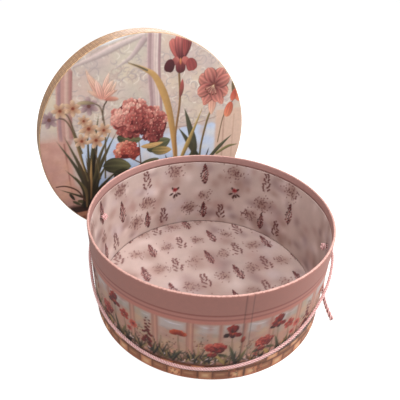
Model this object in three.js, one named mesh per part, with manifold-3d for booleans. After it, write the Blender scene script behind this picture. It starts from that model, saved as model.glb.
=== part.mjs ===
// A round rigid-board hat box, its lid stood on edge behind it, and a twisted carry cord round its front.
// Millimetres, +Z up. The origin is on the box's axis, in the plane that the box and the lid stand on.
import * as THREE from 'three';
import { mergeVertices } from 'three/addons/utils/BufferGeometryUtils.js';
import Module from 'manifold-3d';

// Driving dimensions
const BOX_RADIUS = 203;          // outside of the printed wrap: a 16 inch hat box
const BOX_HEIGHT = 172;
const PAPER = 0.4;               // every wrap, lining and cover paper
const GLUE = 0.3;                // between a paper and its board, and between papers that meet
const WALL_BOARD = 2.4;
const BASE_BOARD = 2.4;
const RIM_TURN_IN = 16;          // wrap folded over the rim and down the inside
const BASE_TURN_IN = 12;         // wrap folded under the base
const BASE_COVER_RADIUS = 200;
const SEAM_WIDTH = 10;           // where the wrap's two ends overlap
const SEAM_DIRECTION = -99.7;    // degrees from +X

const LID_RADIUS = 207.5;
const LID_DEPTH = 43;
const LID_BOARD = 2;
const LID_FOLD = 1.2;            // rim paper folded onto the face, round the face paper
const LID_TURN_IN = 16;          // rim paper folded round the open edge and up the inside
const LID_SIDEWAYS = -36.5;      // the standing lid's centre, along X
const LID_STANDOFF = 4.2;        // from the box's wall to the lid's face

const CORD_DIAMETER = 5;
const HOLE_RADIUS = 4.8;
const HOLE_HEIGHT = 122;
const HOLE_DIRECTION = -35;      // degrees from +X to the right-hand hole; the left-hand one is opposite
const TAIL_SIDESTEP = 6;         // from the cord to its tail in the right-hand slot
const KNOT_RADIUS = 6.5;
const KNOT_LENGTH = 11;
const KNOT_TIP_RADIUS = 198.3;

const FACETS = 96;

// The cord's route, each point [degrees from the right-hand hole towards the front, height, radius], from inside
// the wall on the right, down round the front, to inside the wall on the left
const SWAG = [
  [0, 122, 198.6], [0.14, 121.2, 203], [0.53, 118.8, 206.6], [0.97, 115.9, 208.7], [1.6, 112.4, 209.7],
  [2.9, 108.8, 210.3], [4.6, 104.9, 210.5], [6.9, 100.3, 210.4], [10.2, 94.6, 210.1], [14, 88.6, 209.4],
  [18.4, 82.2, 208.4], [23.4, 75, 207.1], [29, 67.2, 206.4], [34.8, 60.4, 206.2], [41, 54.4, 206.2],
  [47.4, 48.6, 206.2], [54.3, 42.8, 206.2], [61.3, 38, 206.2], [68.8, 34.2, 206.2], [78, 31, 206.2],
  [88, 29, 206.2], [98, 29.8, 206.2], [107, 32.6, 206.2], [115, 36.4, 206.2], [122, 40.2, 206.2],
  [128.6, 43.8, 206.2], [135, 48, 206.2], [141, 52.6, 206.2], [146.4, 58, 206.2], [151.6, 65, 206.4],
  [157, 74, 207.1], [161.6, 81.8, 208.4], [166, 88.6, 209.4], [169.8, 94.6, 210.1], [173.1, 100.3, 210.4],
  [176.2, 106, 210.5], [178.2, 111.6, 209.9], [179.03, 115.9, 208.5], [179.5, 118.9, 206.4], [179.88, 121.3, 203],
  [180, 122, 198.6],
];
// The tail hangs from the right-hand slot, and its cut end stands on the floor.
const TAIL = [
  [-1.7, 122, 198.6], [-1.7, 121.1, 203], [-1.72, 118.3, 206.8], [-1.72, 114.2, 208.9], [-1.68, 108, 209.4],
  [-1.4, 97, 208.3], [-0.9, 84, 207.1], [-0.1, 70, 206.5], [1, 56, 206.3], [2.4, 43, 207], [4.2, 32, 209.8],
  [6.4, 22, 215], [8.7, 12.4, 222.4], [10.9, 3.1, 231.8],
];
const SWAG_STEPS = 84;
const TAIL_STEPS = 20;
const CORD_SIDES = 10;

// Sizes that follow from those
const WALL_BOARD_OUTER = BOX_RADIUS - PAPER - GLUE;
const WALL_BOARD_INNER = WALL_BOARD_OUTER - WALL_BOARD;
const LINING_OUTER = WALL_BOARD_INNER - GLUE;
const LINING_INNER = LINING_OUTER - PAPER;
const WRAP_LOW = PAPER + GLUE;
const BOARD_LOW = WRAP_LOW + PAPER + GLUE;
const FLOOR_LINING_LOW = BOARD_LOW + BASE_BOARD + GLUE;
const TURN_IN_LOW = BOX_HEIGHT - RIM_TURN_IN;

const LID_RIM_OUTER = LID_RADIUS - PAPER - GLUE;
const LID_RIM_INNER = LID_RIM_OUTER - LID_BOARD;
const LID_LINING_OUTER = LID_RIM_INNER - GLUE;
const LID_LINING_INNER = LID_LINING_OUTER - PAPER;
const LID_BOARD_TOP = -PAPER - GLUE;
const LID_LINING_TOP = LID_BOARD_TOP - LID_BOARD - GLUE;
const LID_TURN_IN_TOP = -LID_DEPTH + LID_TURN_IN;

const FACET = (2 * Math.PI) / FACETS;
const UP = new THREE.Vector3(0, 0, 1);

const wasm = await Module();
wasm.setup();

function finish(colour, roughness) {
  return new THREE.MeshStandardMaterial({ color: colour, roughness, metalness: 0 });
}
const GREYBOARD = finish(0x9a8c7c, 0.95);
const KRAFT_PAPER = finish(0xa98668, 0.9);
const PRINTED_WRAP = finish(0xb98a80, 0.65);
const LINING_PAPER = finish(0x9d8280, 0.85);
const PRINTED_FACE = finish(0xc7a596, 0.6);
const GOLD_PAPER = finish(0xc2a274, 0.7);
const CORD_YARN = finish(0xd79a9b, 0.6);

// A closed outline of [radius, height] points turned about Z, with a facet and not a corner towards -Y
function turned(outline) {
  const points = [...outline, outline[0]].map(([radius, height]) => new THREE.Vector2(radius, height));
  return new THREE.LatheGeometry(points, FACETS, FACET / 2).rotateX(Math.PI / 2);
}

function ring(inner, outer, low, high) {
  return turned([[inner, low], [outer, low], [outer, high], [inner, high]]);
}

function disc(radius, low, high) {
  return new THREE.CylinderGeometry(radius, radius, high - low, FACETS, 1, false, FACET / 2)
    .rotateX(Math.PI / 2)
    .translate(0, 0, (low + high) / 2);
}

function toSolid(geometry) {
  const bare = geometry.clone();
  bare.deleteAttribute('normal');
  bare.deleteAttribute('uv');
  const merged = mergeVertices(bare, 1e-4);
  return new wasm.Manifold(new wasm.Mesh({
    numProp: 3,
    vertProperties: new Float32Array(merged.attributes.position.array),
    triVerts: new Uint32Array(merged.index.array),
  }));
}

function toGeometry(solid) {
  const { vertProperties, triVerts } = solid.getMesh();
  const shared = new THREE.BufferGeometry();
  shared.setAttribute('position', new THREE.BufferAttribute(new Float32Array(vertProperties), 3));
  shared.setIndex(new THREE.BufferAttribute(new Uint32Array(triVerts), 1));
  const geometry = shared.toNonIndexed();
  geometry.computeVertexNormals();
  return geometry;
}

// The point at a direction in degrees from +X, a height and a radius
function around(direction, height, radius) {
  const angle = THREE.MathUtils.degToRad(direction);
  return new THREE.Vector3(radius * Math.cos(angle), radius * Math.sin(angle), height);
}

// A hole through the wall: round, or a slot that reaches sideways away from the front
function holeCutter(direction, sideways) {
  const outline = new THREE.Shape();
  outline.absarc(0, 0, HOLE_RADIUS, -Math.PI / 2, Math.PI / 2, false);
  outline.absarc(-sideways, 0, HOLE_RADIUS, Math.PI / 2, (3 * Math.PI) / 2, false);
  const depth = 30;
  const cutter = new THREE.ExtrudeGeometry(outline, { depth, bevelEnabled: false, curveSegments: 10 });
  const frontward = around(direction - 90, 0, 1);
  const inward = frontward.clone().cross(UP);
  const place = new THREE.Matrix4().makeBasis(frontward, UP, inward);
  place.setPosition(around(direction, HOLE_HEIGHT, BOX_RADIUS + depth / 2));
  return toSolid(cutter.applyMatrix4(place));
}
const HOLES = holeCutter(HOLE_DIRECTION, TAIL_SIDESTEP).add(holeCutter(HOLE_DIRECTION + 180, 0));

function withHoles(geometry) {
  return toGeometry(toSolid(geometry).subtract(HOLES));
}

// The wrap is one sheet: under the base, up the outside, over the rim and down inside, with its ends overlapped.
function wrapPaper() {
  const outer = BOX_RADIUS;
  const inner = BOX_RADIUS - PAPER;
  const sheet = turned([
    [outer - BASE_TURN_IN, WRAP_LOW], [outer, WRAP_LOW], [outer, BOX_HEIGHT], [LINING_INNER, BOX_HEIGHT],
    [LINING_INNER, TURN_IN_LOW], [LINING_OUTER, TURN_IN_LOW], [LINING_OUTER, BOX_HEIGHT - PAPER],
    [inner, BOX_HEIGHT - PAPER], [inner, WRAP_LOW + PAPER], [outer - BASE_TURN_IN, WRAP_LOW + PAPER],
  ]);
  const centre = THREE.MathUtils.degToRad(SEAM_DIRECTION);
  const halfAngle = SEAM_WIDTH / 2 / outer;
  const bond = outer - 0.6 * PAPER;  // inside the sheet's thickness at corners and facets alike
  const strip = new THREE.Shape();
  strip.absarc(0, 0, outer + PAPER, centre - halfAngle, centre + halfAngle, false);
  strip.absarc(0, 0, bond, centre + halfAngle, centre - halfAngle, true);
  const overlap = new THREE.ExtrudeGeometry(strip, {
    depth: BOX_HEIGHT - WRAP_LOW, bevelEnabled: false, curveSegments: 3,
  }).translate(0, 0, WRAP_LOW);
  return withHoles(toGeometry(toSolid(sheet).add(toSolid(overlap))));
}

// The lid is made with its face up at height 0, and its group stands it on edge.
function lidRimPaper() {
  const outer = LID_RADIUS;
  const inner = LID_RADIUS - PAPER;
  return turned([
    [LID_LINING_INNER, -LID_DEPTH], [outer, -LID_DEPTH], [outer, 0], [outer - LID_FOLD, 0],
    [outer - LID_FOLD, -PAPER], [inner, -PAPER], [inner, -LID_DEPTH + PAPER],
    [LID_LINING_OUTER, -LID_DEPTH + PAPER], [LID_LINING_OUTER, LID_TURN_IN_TOP],
    [LID_LINING_INNER, LID_TURN_IN_TOP],
  ]);
}

function cordTube(route, steps) {
  const points = route.map(([degrees, height, radius]) => around(HOLE_DIRECTION - degrees, height, radius));
  const section = new THREE.Shape().absarc(0, 0, CORD_DIAMETER / 2, 0, 2 * Math.PI, false);
  return new THREE.ExtrudeGeometry(section, {
    steps,
    extrudePath: new THREE.CatmullRomCurve3(points, false, 'centripetal'),
    curveSegments: CORD_SIDES / 2,
  });
}

// A stopper knot against the lining, wide enough to cover what comes out of it
function knot(direction, extraWidth) {
  const place = around(direction, HOLE_HEIGHT, KNOT_TIP_RADIUS - KNOT_LENGTH / 2);
  return new THREE.SphereGeometry(1, 16, 10)
    .scale(KNOT_LENGTH / 2, KNOT_RADIUS + extraWidth, KNOT_RADIUS)
    .rotateZ(THREE.MathUtils.degToRad(direction))
    .translate(place.x, place.y, place.z);
}

function piece(name, geometry, material) {
  const mesh = new THREE.Mesh(geometry, material);
  mesh.name = name;
  return mesh;
}

const box = new THREE.Group().add(
  piece('wall_board', withHoles(ring(WALL_BOARD_INNER, WALL_BOARD_OUTER, BOARD_LOW, BOX_HEIGHT - PAPER - GLUE)),
    GREYBOARD),
  piece('base_board', disc(WALL_BOARD_INNER - GLUE, BOARD_LOW, BOARD_LOW + BASE_BOARD), GREYBOARD),
  piece('wrap_paper', wrapPaper(), PRINTED_WRAP),
  piece('wall_lining', withHoles(ring(LINING_INNER, LINING_OUTER, FLOOR_LINING_LOW, TURN_IN_LOW - GLUE)),
    LINING_PAPER),
  piece('floor_lining', disc(LINING_INNER - GLUE, FLOOR_LINING_LOW, FLOOR_LINING_LOW + PAPER), LINING_PAPER),
  piece('base_cover', disc(BASE_COVER_RADIUS, 0, PAPER), KRAFT_PAPER),
);

const lid = new THREE.Group().add(
  piece('lid_top_board', disc(LID_RIM_INNER - GLUE, LID_BOARD_TOP - LID_BOARD, LID_BOARD_TOP), GREYBOARD),
  piece('lid_rim_board', ring(LID_RIM_INNER, LID_RIM_OUTER, -LID_DEPTH + PAPER + GLUE, LID_BOARD_TOP), GREYBOARD),
  piece('lid_rim_paper', lidRimPaper(), GOLD_PAPER),
  piece('lid_face_paper', disc(LID_RADIUS - LID_FOLD - GLUE, -PAPER, 0), PRINTED_FACE),
  piece('lid_rim_lining', ring(LID_LINING_INNER, LID_LINING_OUTER, LID_TURN_IN_TOP + GLUE, LID_LINING_TOP),
    LINING_PAPER),
  piece('lid_top_lining', disc(LID_LINING_INNER - GLUE, LID_LINING_TOP - PAPER, LID_LINING_TOP), LINING_PAPER),
);
lid.rotation.x = Math.PI / 2;  // face towards -Y, and a facet flat on the floor
lid.position.set(LID_SIDEWAYS, BOX_RADIUS + LID_STANDOFF, LID_RADIUS * Math.cos(FACET / 2));

const slotMiddle = THREE.MathUtils.radToDeg(TAIL_SIDESTEP / 2 / KNOT_TIP_RADIUS);
const cord = new THREE.Group().add(
  piece('carry_cord', cordTube(SWAG, SWAG_STEPS), CORD_YARN),
  piece('cord_tail', cordTube(TAIL, TAIL_STEPS), CORD_YARN),
  piece('cord_knot_right', knot(HOLE_DIRECTION + slotMiddle, TAIL_SIDESTEP / 2), CORD_YARN),
  piece('cord_knot_left', knot(HOLE_DIRECTION + 180, 0), CORD_YARN),
);

export default new THREE.Group().add(box, lid, cord);
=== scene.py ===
import math

import bpy
import numpy as np
from mathutils import Matrix, Vector


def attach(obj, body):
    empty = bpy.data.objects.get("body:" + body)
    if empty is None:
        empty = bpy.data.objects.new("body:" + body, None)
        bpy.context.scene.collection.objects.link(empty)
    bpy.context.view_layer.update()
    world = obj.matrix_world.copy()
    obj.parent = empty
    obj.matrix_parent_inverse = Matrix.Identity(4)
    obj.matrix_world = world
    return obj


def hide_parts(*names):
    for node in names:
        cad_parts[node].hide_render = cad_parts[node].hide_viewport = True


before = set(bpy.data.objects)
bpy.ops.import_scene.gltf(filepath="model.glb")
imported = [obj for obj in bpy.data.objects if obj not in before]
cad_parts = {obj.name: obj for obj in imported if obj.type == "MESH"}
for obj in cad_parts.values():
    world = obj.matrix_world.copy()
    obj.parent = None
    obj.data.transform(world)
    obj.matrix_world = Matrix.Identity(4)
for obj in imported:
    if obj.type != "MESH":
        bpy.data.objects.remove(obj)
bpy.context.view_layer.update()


# Camera: it looks down into the open box from the front left, with the lid standing behind. Its place, turn
# and lens are fixed here.
EYE = (-0.2605, -0.4985, 0.5406)
LOOK_DOWN = math.radians(32.23)
TURN = math.radians(-25.6)
ROLL = math.radians(2.33)


def placed(name, data):
    """An object of this data, put in the scene."""
    thing = bpy.data.objects.new(name, data)
    bpy.context.scene.collection.objects.link(thing)
    return thing


camera_data = bpy.data.cameras.new("camera")
camera_data.sensor_width = 36
camera_data.lens = 36.02
camera_data.clip_start = 0.01
camera = placed("camera", camera_data)
camera.matrix_world = (
    Matrix.Translation(EYE)
    @ Matrix.Rotation(TURN, 4, "Z")
    @ Matrix.Rotation(math.pi / 2 - LOOK_DOWN, 4, "X")
    @ Matrix.Rotation(ROLL, 4, "Z")
)
bpy.context.scene.camera = camera


# Carry cord: three strands of pink rayon yarn laid together into a 5 mm cord. One length, its ends pushed
# in through holes in the wall, hangs in a swag round the front of the box.
CORD_DIAMETER = 0.005
CORD_LAY = 0.0125
STRAND_RADIUS = CORD_DIAMETER / 2 / (1 + 2 / math.sqrt(3))
STRAND_OFFSET = STRAND_RADIUS * 2 / math.sqrt(3)
STRAND_SIDES = 8
STRAND_FULLNESS = 1.06       # the yarn's own roundness, so that strands press on each other
OPENS_OUT = 0.65             # how much further apart, and how much fuller, wholly opened strands are
OPENS_FULLER = 0.4
RING_SPACING = 0.0009
ANY_SIDE = (0.3, 0.2, 0.9)   # a direction that no cord sets out along
RIGHT_HOLE = math.radians(-35)
LEFT_HOLE = RIGHT_HOLE + math.pi
HOLE_HEIGHT = 0.122
BOX_RADIUS = 0.203
# Each point: degrees from the right-hand hole towards the front, height and distance from the axis.
SWAG = [
    [0, 0.122, 0.1986], [0.14, 0.1212, 0.203], [0.53, 0.1188, 0.2066], [0.97, 0.1159, 0.2087],
    [1.6, 0.1124, 0.2097], [2.9, 0.1088, 0.2103], [4.6, 0.1049, 0.2105], [6.9, 0.1003, 0.2104],
    [10.2, 0.0946, 0.2101], [14, 0.0886, 0.2094], [18.4, 0.0822, 0.2084], [23.4, 0.075, 0.2071],
    [29, 0.0672, 0.2064], [34.8, 0.0604, 0.2062], [41, 0.0544, 0.2062], [47.4, 0.0486, 0.2062],
    [54.3, 0.0428, 0.2062], [61.3, 0.038, 0.2062], [68.8, 0.0342, 0.2062], [78, 0.031, 0.2062],
    [88, 0.029, 0.2062], [98, 0.0298, 0.2062], [107, 0.0326, 0.2062], [115, 0.0364, 0.2062],
    [122, 0.0402, 0.2062], [128.6, 0.0438, 0.2062], [135, 0.048, 0.2062], [141, 0.0526, 0.2062],
    [146.4, 0.058, 0.2062], [151.6, 0.065, 0.2064], [157, 0.074, 0.2071], [161.6, 0.0818, 0.2084],
    [166, 0.0886, 0.2094], [169.8, 0.0946, 0.2101], [173.1, 0.1003, 0.2104], [176.2, 0.106, 0.2105],
    [178.2, 0.1116, 0.2099], [179.03, 0.1159, 0.2085], [179.5, 0.1189, 0.2064], [179.88, 0.1213, 0.203],
    [180, 0.122, 0.1986],
]


def around(angle, height, radius):
    """The place at an angle round the box's axis."""
    return np.array([radius * math.cos(angle), radius * math.sin(angle), height])


def cord_line(route, spacing):
    """Points this far apart along the smooth line through a route."""
    knots = []
    for degrees, height, radius in route:
        knots.append(around(RIGHT_HOLE - math.radians(degrees), height, radius))
    knots = [2 * knots[0] - knots[1]] + knots + [2 * knots[-1] - knots[-2]]
    line = []
    for before, start, end, after in zip(knots, knots[1:], knots[2:], knots[3:]):
        gaps = [np.linalg.norm(b - a) ** 0.5 for a, b in ((before, start), (start, end), (end, after))]
        leave = (start - before) / gaps[0] - (end - before) / (gaps[0] + gaps[1]) + (end - start) / gaps[1]
        arrive = (end - start) / gaps[1] - (after - start) / (gaps[1] + gaps[2]) + (after - end) / gaps[2]
        leave, arrive = leave * gaps[1], arrive * gaps[1]
        for t in np.arange(0, 1, 0.02):
            cube = 2 * start - 2 * end + leave + arrive
            square = 3 * end - 3 * start - 2 * leave - arrive
            line.append(start + leave * t + square * t ** 2 + cube * t ** 3)
    line = np.array(line + [knots[-2]])
    along = np.concatenate([[0], np.cumsum(np.linalg.norm(np.diff(line, axis=0), axis=1))])
    places = np.linspace(0, along[-1], round(along[-1] / spacing) + 1)
    return np.stack([np.interp(places, along, line[:, k]) for k in range(3)], axis=1)


def new_piece(name, points, faces, material=None):
    """A mesh object at the origin, smooth all over, with its place in its points."""
    mesh = bpy.data.meshes.new(name)
    mesh.from_pydata(np.asarray(points).tolist(), [], [tuple(face) for face in faces])
    mesh.polygons.foreach_set("use_smooth", np.ones(len(mesh.polygons), bool))
    mesh.update()
    if material is not None:
        mesh.materials.append(material)
    return placed(name, mesh)


def laid_cord(name, line, material, opened=None):
    """Three strands laid round a line as one mesh of closed tubes. Its UV map has u round a strand and v
    along it in metres. opened says, at each point, how much the strands have come apart."""
    opened = np.zeros(len(line)) if opened is None else opened
    tangents = np.gradient(line, axis=0)
    tangents /= np.linalg.norm(tangents, axis=1)[:, None]
    side = np.cross(tangents[0], ANY_SIDE)
    sides = []
    for tangent in tangents:
        side = side - tangent * side.dot(tangent)
        side = side / np.linalg.norm(side)
        sides.append(side)
    sides = np.array(sides)
    ups = np.cross(tangents, sides)
    along = np.concatenate([[0], np.cumsum(np.linalg.norm(np.diff(line, axis=0), axis=1))])
    turns = 2 * math.pi * np.concatenate([[0], np.cumsum(np.diff(along) / (CORD_LAY * (1 + opened[1:])))])
    points, faces, uvs = [], [], []
    rings = len(line)
    ring = np.arange(STRAND_SIDES)
    for strand in range(3):
        turn = turns + strand * 2 * math.pi / 3
        out = np.cos(turn)[:, None] * sides + np.sin(turn)[:, None] * ups
        middle = line + out * (STRAND_OFFSET * (1 + OPENS_OUT * opened))[:, None]
        heading = np.gradient(middle, axis=0)
        heading /= np.linalg.norm(heading, axis=1)[:, None]
        flat = np.cross(heading, out)
        rise = np.cross(flat, heading)
        first = len(points)
        for k in range(rings):
            angle = 2 * math.pi * ring / STRAND_SIDES
            radius = STRAND_RADIUS * (STRAND_FULLNESS + OPENS_FULLER * opened[k])
            section = np.outer(np.cos(angle), rise[k]) + np.outer(np.sin(angle), flat[k])
            points.extend(middle[k] + radius * section)
        for k in range(rings - 1):
            low, high = first + k * STRAND_SIDES, first + (k + 1) * STRAND_SIDES
            for j in range(STRAND_SIDES):
                n = (j + 1) % STRAND_SIDES
                faces.append((low + j, low + n, high + n, high + j))
                u0, u1 = j / STRAND_SIDES, (j + 1) / STRAND_SIDES
                uvs += [(u0, along[k]), (u1, along[k]), (u1, along[k + 1]), (u0, along[k + 1])]
        last = first + (rings - 1) * STRAND_SIDES
        faces.append(tuple(range(first + STRAND_SIDES - 1, first - 1, -1)))
        faces.append(tuple(range(last, last + STRAND_SIDES)))
        uvs += [(0.5, 0.0)] * STRAND_SIDES + [(0.5, along[-1])] * STRAND_SIDES
    piece = new_piece(name, points, faces, material)
    piece.data.uv_layers.new(name="strand").data.foreach_set("uv", np.array(uvs).ravel())
    return piece


def node_maker(tree):
    """A short way to put a node in a tree: its type, its settings, and its inputs by name or number."""
    def put(kind, inputs=None, **settings):
        node = tree.nodes.new(kind)
        for name, value in settings.items():
            setattr(node, name, value)
        for name, value in (inputs or {}).items():
            if isinstance(value, bpy.types.NodeSocket):
                tree.links.new(value, node.inputs[name])
            else:
                node.inputs[name].default_value = value
        return node
    return put


def worked(put, operation, *values):
    """What a Math node makes of its values, each a number or a socket."""
    return put("ShaderNodeMath", dict(enumerate(values)), operation=operation).outputs[0]


def new_material(name, **shader_values):
    """A material with its Principled BSDF and output. The values are set on the shader's own sockets."""
    material = bpy.data.materials.new(name)
    material.use_nodes = True
    shader = material.node_tree.nodes["Principled BSDF"]
    for socket, value in shader_values.items():
        shader.inputs[socket.replace("_", " ")].default_value = value
    return material, shader, node_maker(material.node_tree)


def feed(node, **sockets):
    """Joins sockets to a node's inputs, whose names have _ for a space."""
    for name, socket in sockets.items():
        node.id_data.links.new(socket, node.inputs[name.replace("_", " ")])


def linear(rgb):
    """Colours mixed as 0 to 255 on a screen, as the linear colours that a shader takes."""
    share = np.clip(np.asarray(rgb, float) / 255, 0, 1)
    return np.where(share <= 0.04045, share / 12.92, ((share + 0.055) / 1.055) ** 2.4)


def shade(*rgb):
    """The same for one colour on a socket, with its alpha."""
    return (*linear(rgb), 1)


def ramp(put, value, stops):
    """A colour ramp of (place, colour) stops."""
    node = put("ShaderNodeValToRGB", {"Fac": value})
    while len(node.color_ramp.elements) < len(stops):
        node.color_ramp.elements.new(0.5)
    for element, (place, colour) in zip(node.color_ramp.elements, stops):
        element.position = place
        element.color = colour
    return node.outputs["Color"]


YARNS = 6                # yarns in a strand
YARN_LAY = 0.0075        # length of one turn of a yarn, the other way round from the strands
cord_yarn, shader, put = new_material("cord_yarn", Roughness=0.46, Sheen_Weight=0.35, Sheen_Roughness=0.35)
uv = put("ShaderNodeUVMap", uv_map="strand").outputs["UV"]
axes = put("ShaderNodeSeparateXYZ", {"Vector": uv})
round_it = worked(put, "MULTIPLY", axes.outputs["X"], YARNS)
along_it = worked(put, "MULTIPLY", axes.outputs["Y"], YARNS / YARN_LAY)
phase = worked(put, "ADD", round_it, along_it)
cycle = worked(put, "PINGPONG", phase, 1.0)
fibres = put("ShaderNodeTexNoise", {"Vector": put("ShaderNodeTexCoord").outputs["Object"], "Scale": 1400.0,
                                    "Detail": 3.0})
blend = worked(put, "ADD", cycle, fibres.outputs["Fac"])
height = worked(put, "MULTIPLY", blend, 0.6)
# Colour: darker on the strand's sides, where it presses on the others, and in the grooves between its
# yarns, as painted shade; lightest on its outer crown, as a painted highlight.
turn_round = worked(put, "MULTIPLY", axes.outputs["X"], 2 * math.pi)
outward = worked(put, "COSINE", turn_round)
painted_crown_light = put("ShaderNodeMapRange", {"Value": outward, "From Min": -0.45, "From Max": 0.8}).outputs["Result"]
tone = worked(put, "MULTIPLY", height, painted_crown_light)
# the ramp runs from the painted shade in the grooves to the painted highlight on the crowns
colour = ramp(put, tone, [(0.0, shade(136, 74, 80)), (0.3, shade(210, 150, 150)),
                          (0.75, shade(240, 204, 201))])
bump = put("ShaderNodeBump", {"Height": height, "Strength": 0.55, "Distance": 0.0004})
feed(shader, Base_Color=colour, Normal=bump.outputs["Normal"])

swag_line = cord_line(SWAG, RING_SPACING)
carry_cord = laid_cord("carry_cord_yarn", swag_line, cord_yarn)
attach(carry_cord, "cord")
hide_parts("carry_cord")


# Cord tail: the cord's cut end, passed back out beside the cord through the right-hand slot. It hangs down
# the wall, comes untwisted towards its end and stands on the floor.
TAIL_LENGTH = 0.145
TAIL_OPENS_OVER = 0.075      # the last stretch, where the strands come apart
TAIL = [
    [-1.7, 0.122, 0.1986], [-1.7, 0.1211, 0.203], [-1.72, 0.1183, 0.2068], [-1.72, 0.1142, 0.2089],
    [-1.68, 0.108, 0.2094], [-1.4, 0.097, 0.2083], [-0.9, 0.084, 0.2071], [-0.1, 0.07, 0.2065],
    [1, 0.056, 0.2063], [2.4, 0.043, 0.207], [4.2, 0.032, 0.2098], [6.4, 0.022, 0.215],
    [8.7, 0.0124, 0.2224], [10.9, 0.0031, 0.2318],
]
tail_line = cord_line(TAIL, RING_SPACING)
to_end = TAIL_LENGTH - np.linspace(0, TAIL_LENGTH, len(tail_line))
opened = np.clip(1 - to_end / TAIL_OPENS_OVER, 0, 1) ** 1.3
cord_tail = laid_cord("cord_tail_yarn", tail_line, cord_yarn, opened)
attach(cord_tail, "box")
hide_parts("cord_tail")


# Cord knots: an overhand stopper knot in the cord inside the wall at each hole, pulled up against the
# lining so that the cord can't slip out. The left-hand one turns with the carry cord.
KNOT_CENTRE = 0.1931         # from the box's axis
KNOT_LOOP = 0.0031
KNOT_DEPTH = 0.0018
KNOT_SIDESTEP = 0.003        # the right-hand knot stands between the cord and its tail
KNOT_TIP_RADIUS = 0.1983     # from the box's axis to the knot's outer side
KNOT_POINTS = 90
for name, node, body, angle in (
    ("cord_knot_left_yarn", "cord_knot_left", "cord", LEFT_HOLE),
    ("cord_knot_right_yarn", "cord_knot_right", "box", RIGHT_HOLE + KNOT_SIDESTEP / KNOT_TIP_RADIUS),
):
    turn = np.linspace(0, 2 * math.pi, KNOT_POINTS)
    reach = KNOT_LOOP + KNOT_DEPTH * np.cos(3 * turn)
    flat_x, flat_y, deep = reach * np.cos(2 * turn), reach * np.sin(2 * turn), KNOT_DEPTH * np.sin(3 * turn)
    inward = around(angle, 0, 1)
    sideways = around(angle + math.pi / 2, 0, 1)
    line = around(angle, HOLE_HEIGHT, KNOT_CENTRE) + np.outer(deep, inward) + np.outer(flat_x, sideways)
    line[:, 2] += flat_y
    knot = laid_cord(name, line, cord_yarn)
    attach(knot, body)
    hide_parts(node)


# Yarn fuzz: the fine fibre ends that stand off the rayon yarn all along the cord, and the frayed ends of
# its strands at the cut.
fuzz_tree = bpy.data.node_groups.new("Yarn fuzz", "GeometryNodeTree")


def named_inputs(tree, inputs):
    """Gives a tree its inputs, each (label, kind, starting value). Returns each label's identifier."""
    identifiers = {}
    for label, kind, value in inputs:
        socket = tree.interface.new_socket(label, in_out="INPUT", socket_type=kind)
        if value is not None:
            socket.default_value = value
        identifiers[label] = socket.identifier
    return identifiers


fuzz_inputs = named_inputs(fuzz_tree, (
    ("Geometry", "NodeSocketGeometry", None),
    ("Fibres Per Square Metre", "NodeSocketFloat", 0.0),
    ("Fibre Length", "NodeSocketFloat", 0.0),
    ("Fibre Radius", "NodeSocketFloat", 0.0),
    ("Lean", "NodeSocketFloat", 0.0),
    ("Seed", "NodeSocketInt", 0),
    ("Material", "NodeSocketMaterial", None),
))
fuzz_tree.interface.new_socket("Geometry", in_out="OUTPUT", socket_type="NodeSocketGeometry")
put = node_maker(fuzz_tree)
given = put("NodeGroupInput").outputs
points = put("GeometryNodeDistributePointsOnFaces",
             {"Mesh": given["Geometry"], "Density": given["Fibres Per Square Metre"],
              "Seed": given["Seed"]})
fibre = put("GeometryNodeMeshCone", {"Vertices": 3, "Side Segments": 1, "Fill Segments": 1,
                                     "Radius Top": 0.25, "Radius Bottom": 1.0, "Depth": 1.0})
wide = put("ShaderNodeCombineXYZ", {"X": given["Fibre Radius"], "Y": given["Fibre Radius"],
                                    "Z": given["Fibre Length"]}).outputs[0]
tilt = put("ShaderNodeCombineXYZ", {"X": given["Lean"], "Y": given["Lean"], "Z": 3.1}).outputs[0]
untilt = put("ShaderNodeVectorMath", {0: tilt, 1: (-1.0, -1.0, -1.0)}, operation="MULTIPLY").outputs[0]
swing = put("FunctionNodeRandomValue", {"Min": untilt, "Max": tilt, "Seed": given["Seed"]},
            data_type="FLOAT_VECTOR")
swung = put("FunctionNodeRotateRotation", {"Rotation": points.outputs["Rotation"]}, rotation_space="LOCAL")
turned = put("FunctionNodeEulerToRotation", {"Euler": swing.outputs["Value"]})
fuzz_tree.links.new(turned.outputs["Rotation"], swung.inputs["Rotate By"])
size = put("FunctionNodeRandomValue", {"Min": 0.35, "Max": 1.0, "Seed": given["Seed"]}, data_type="FLOAT")
scaled = put("ShaderNodeVectorMath", {0: wide, "Scale": size.outputs[1]}, operation="SCALE").outputs[0]
grown = put("GeometryNodeInstanceOnPoints",
            {"Points": points.outputs["Points"], "Instance": fibre.outputs["Mesh"],
             "Rotation": swung.outputs["Rotation"], "Scale": scaled})
real = put("GeometryNodeRealizeInstances", {"Geometry": grown.outputs["Instances"]})
dressed = put("GeometryNodeSetMaterial", {"Geometry": real.outputs["Geometry"],
                                          "Material": given["Material"]})
put("NodeGroupOutput", {"Geometry": dressed.outputs["Geometry"]})


def made_by_nodes(name, source, tree, values):
    """The plain mesh that a node tree makes from a mesh. values are the modifier's inputs by identifier."""
    worker = placed("worker", source)
    modifier = worker.modifiers.new("nodes", "NODES")
    modifier.node_group = tree
    for identifier, value in values.items():
        modifier[identifier] = value
    view = bpy.context.evaluated_depsgraph_get()
    mesh = bpy.data.meshes.new_from_object(worker.evaluated_get(view), depsgraph=view)
    worker.modifiers.remove(modifier)
    bpy.data.objects.remove(worker)
    mesh.name = name
    return placed(name, mesh)


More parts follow.
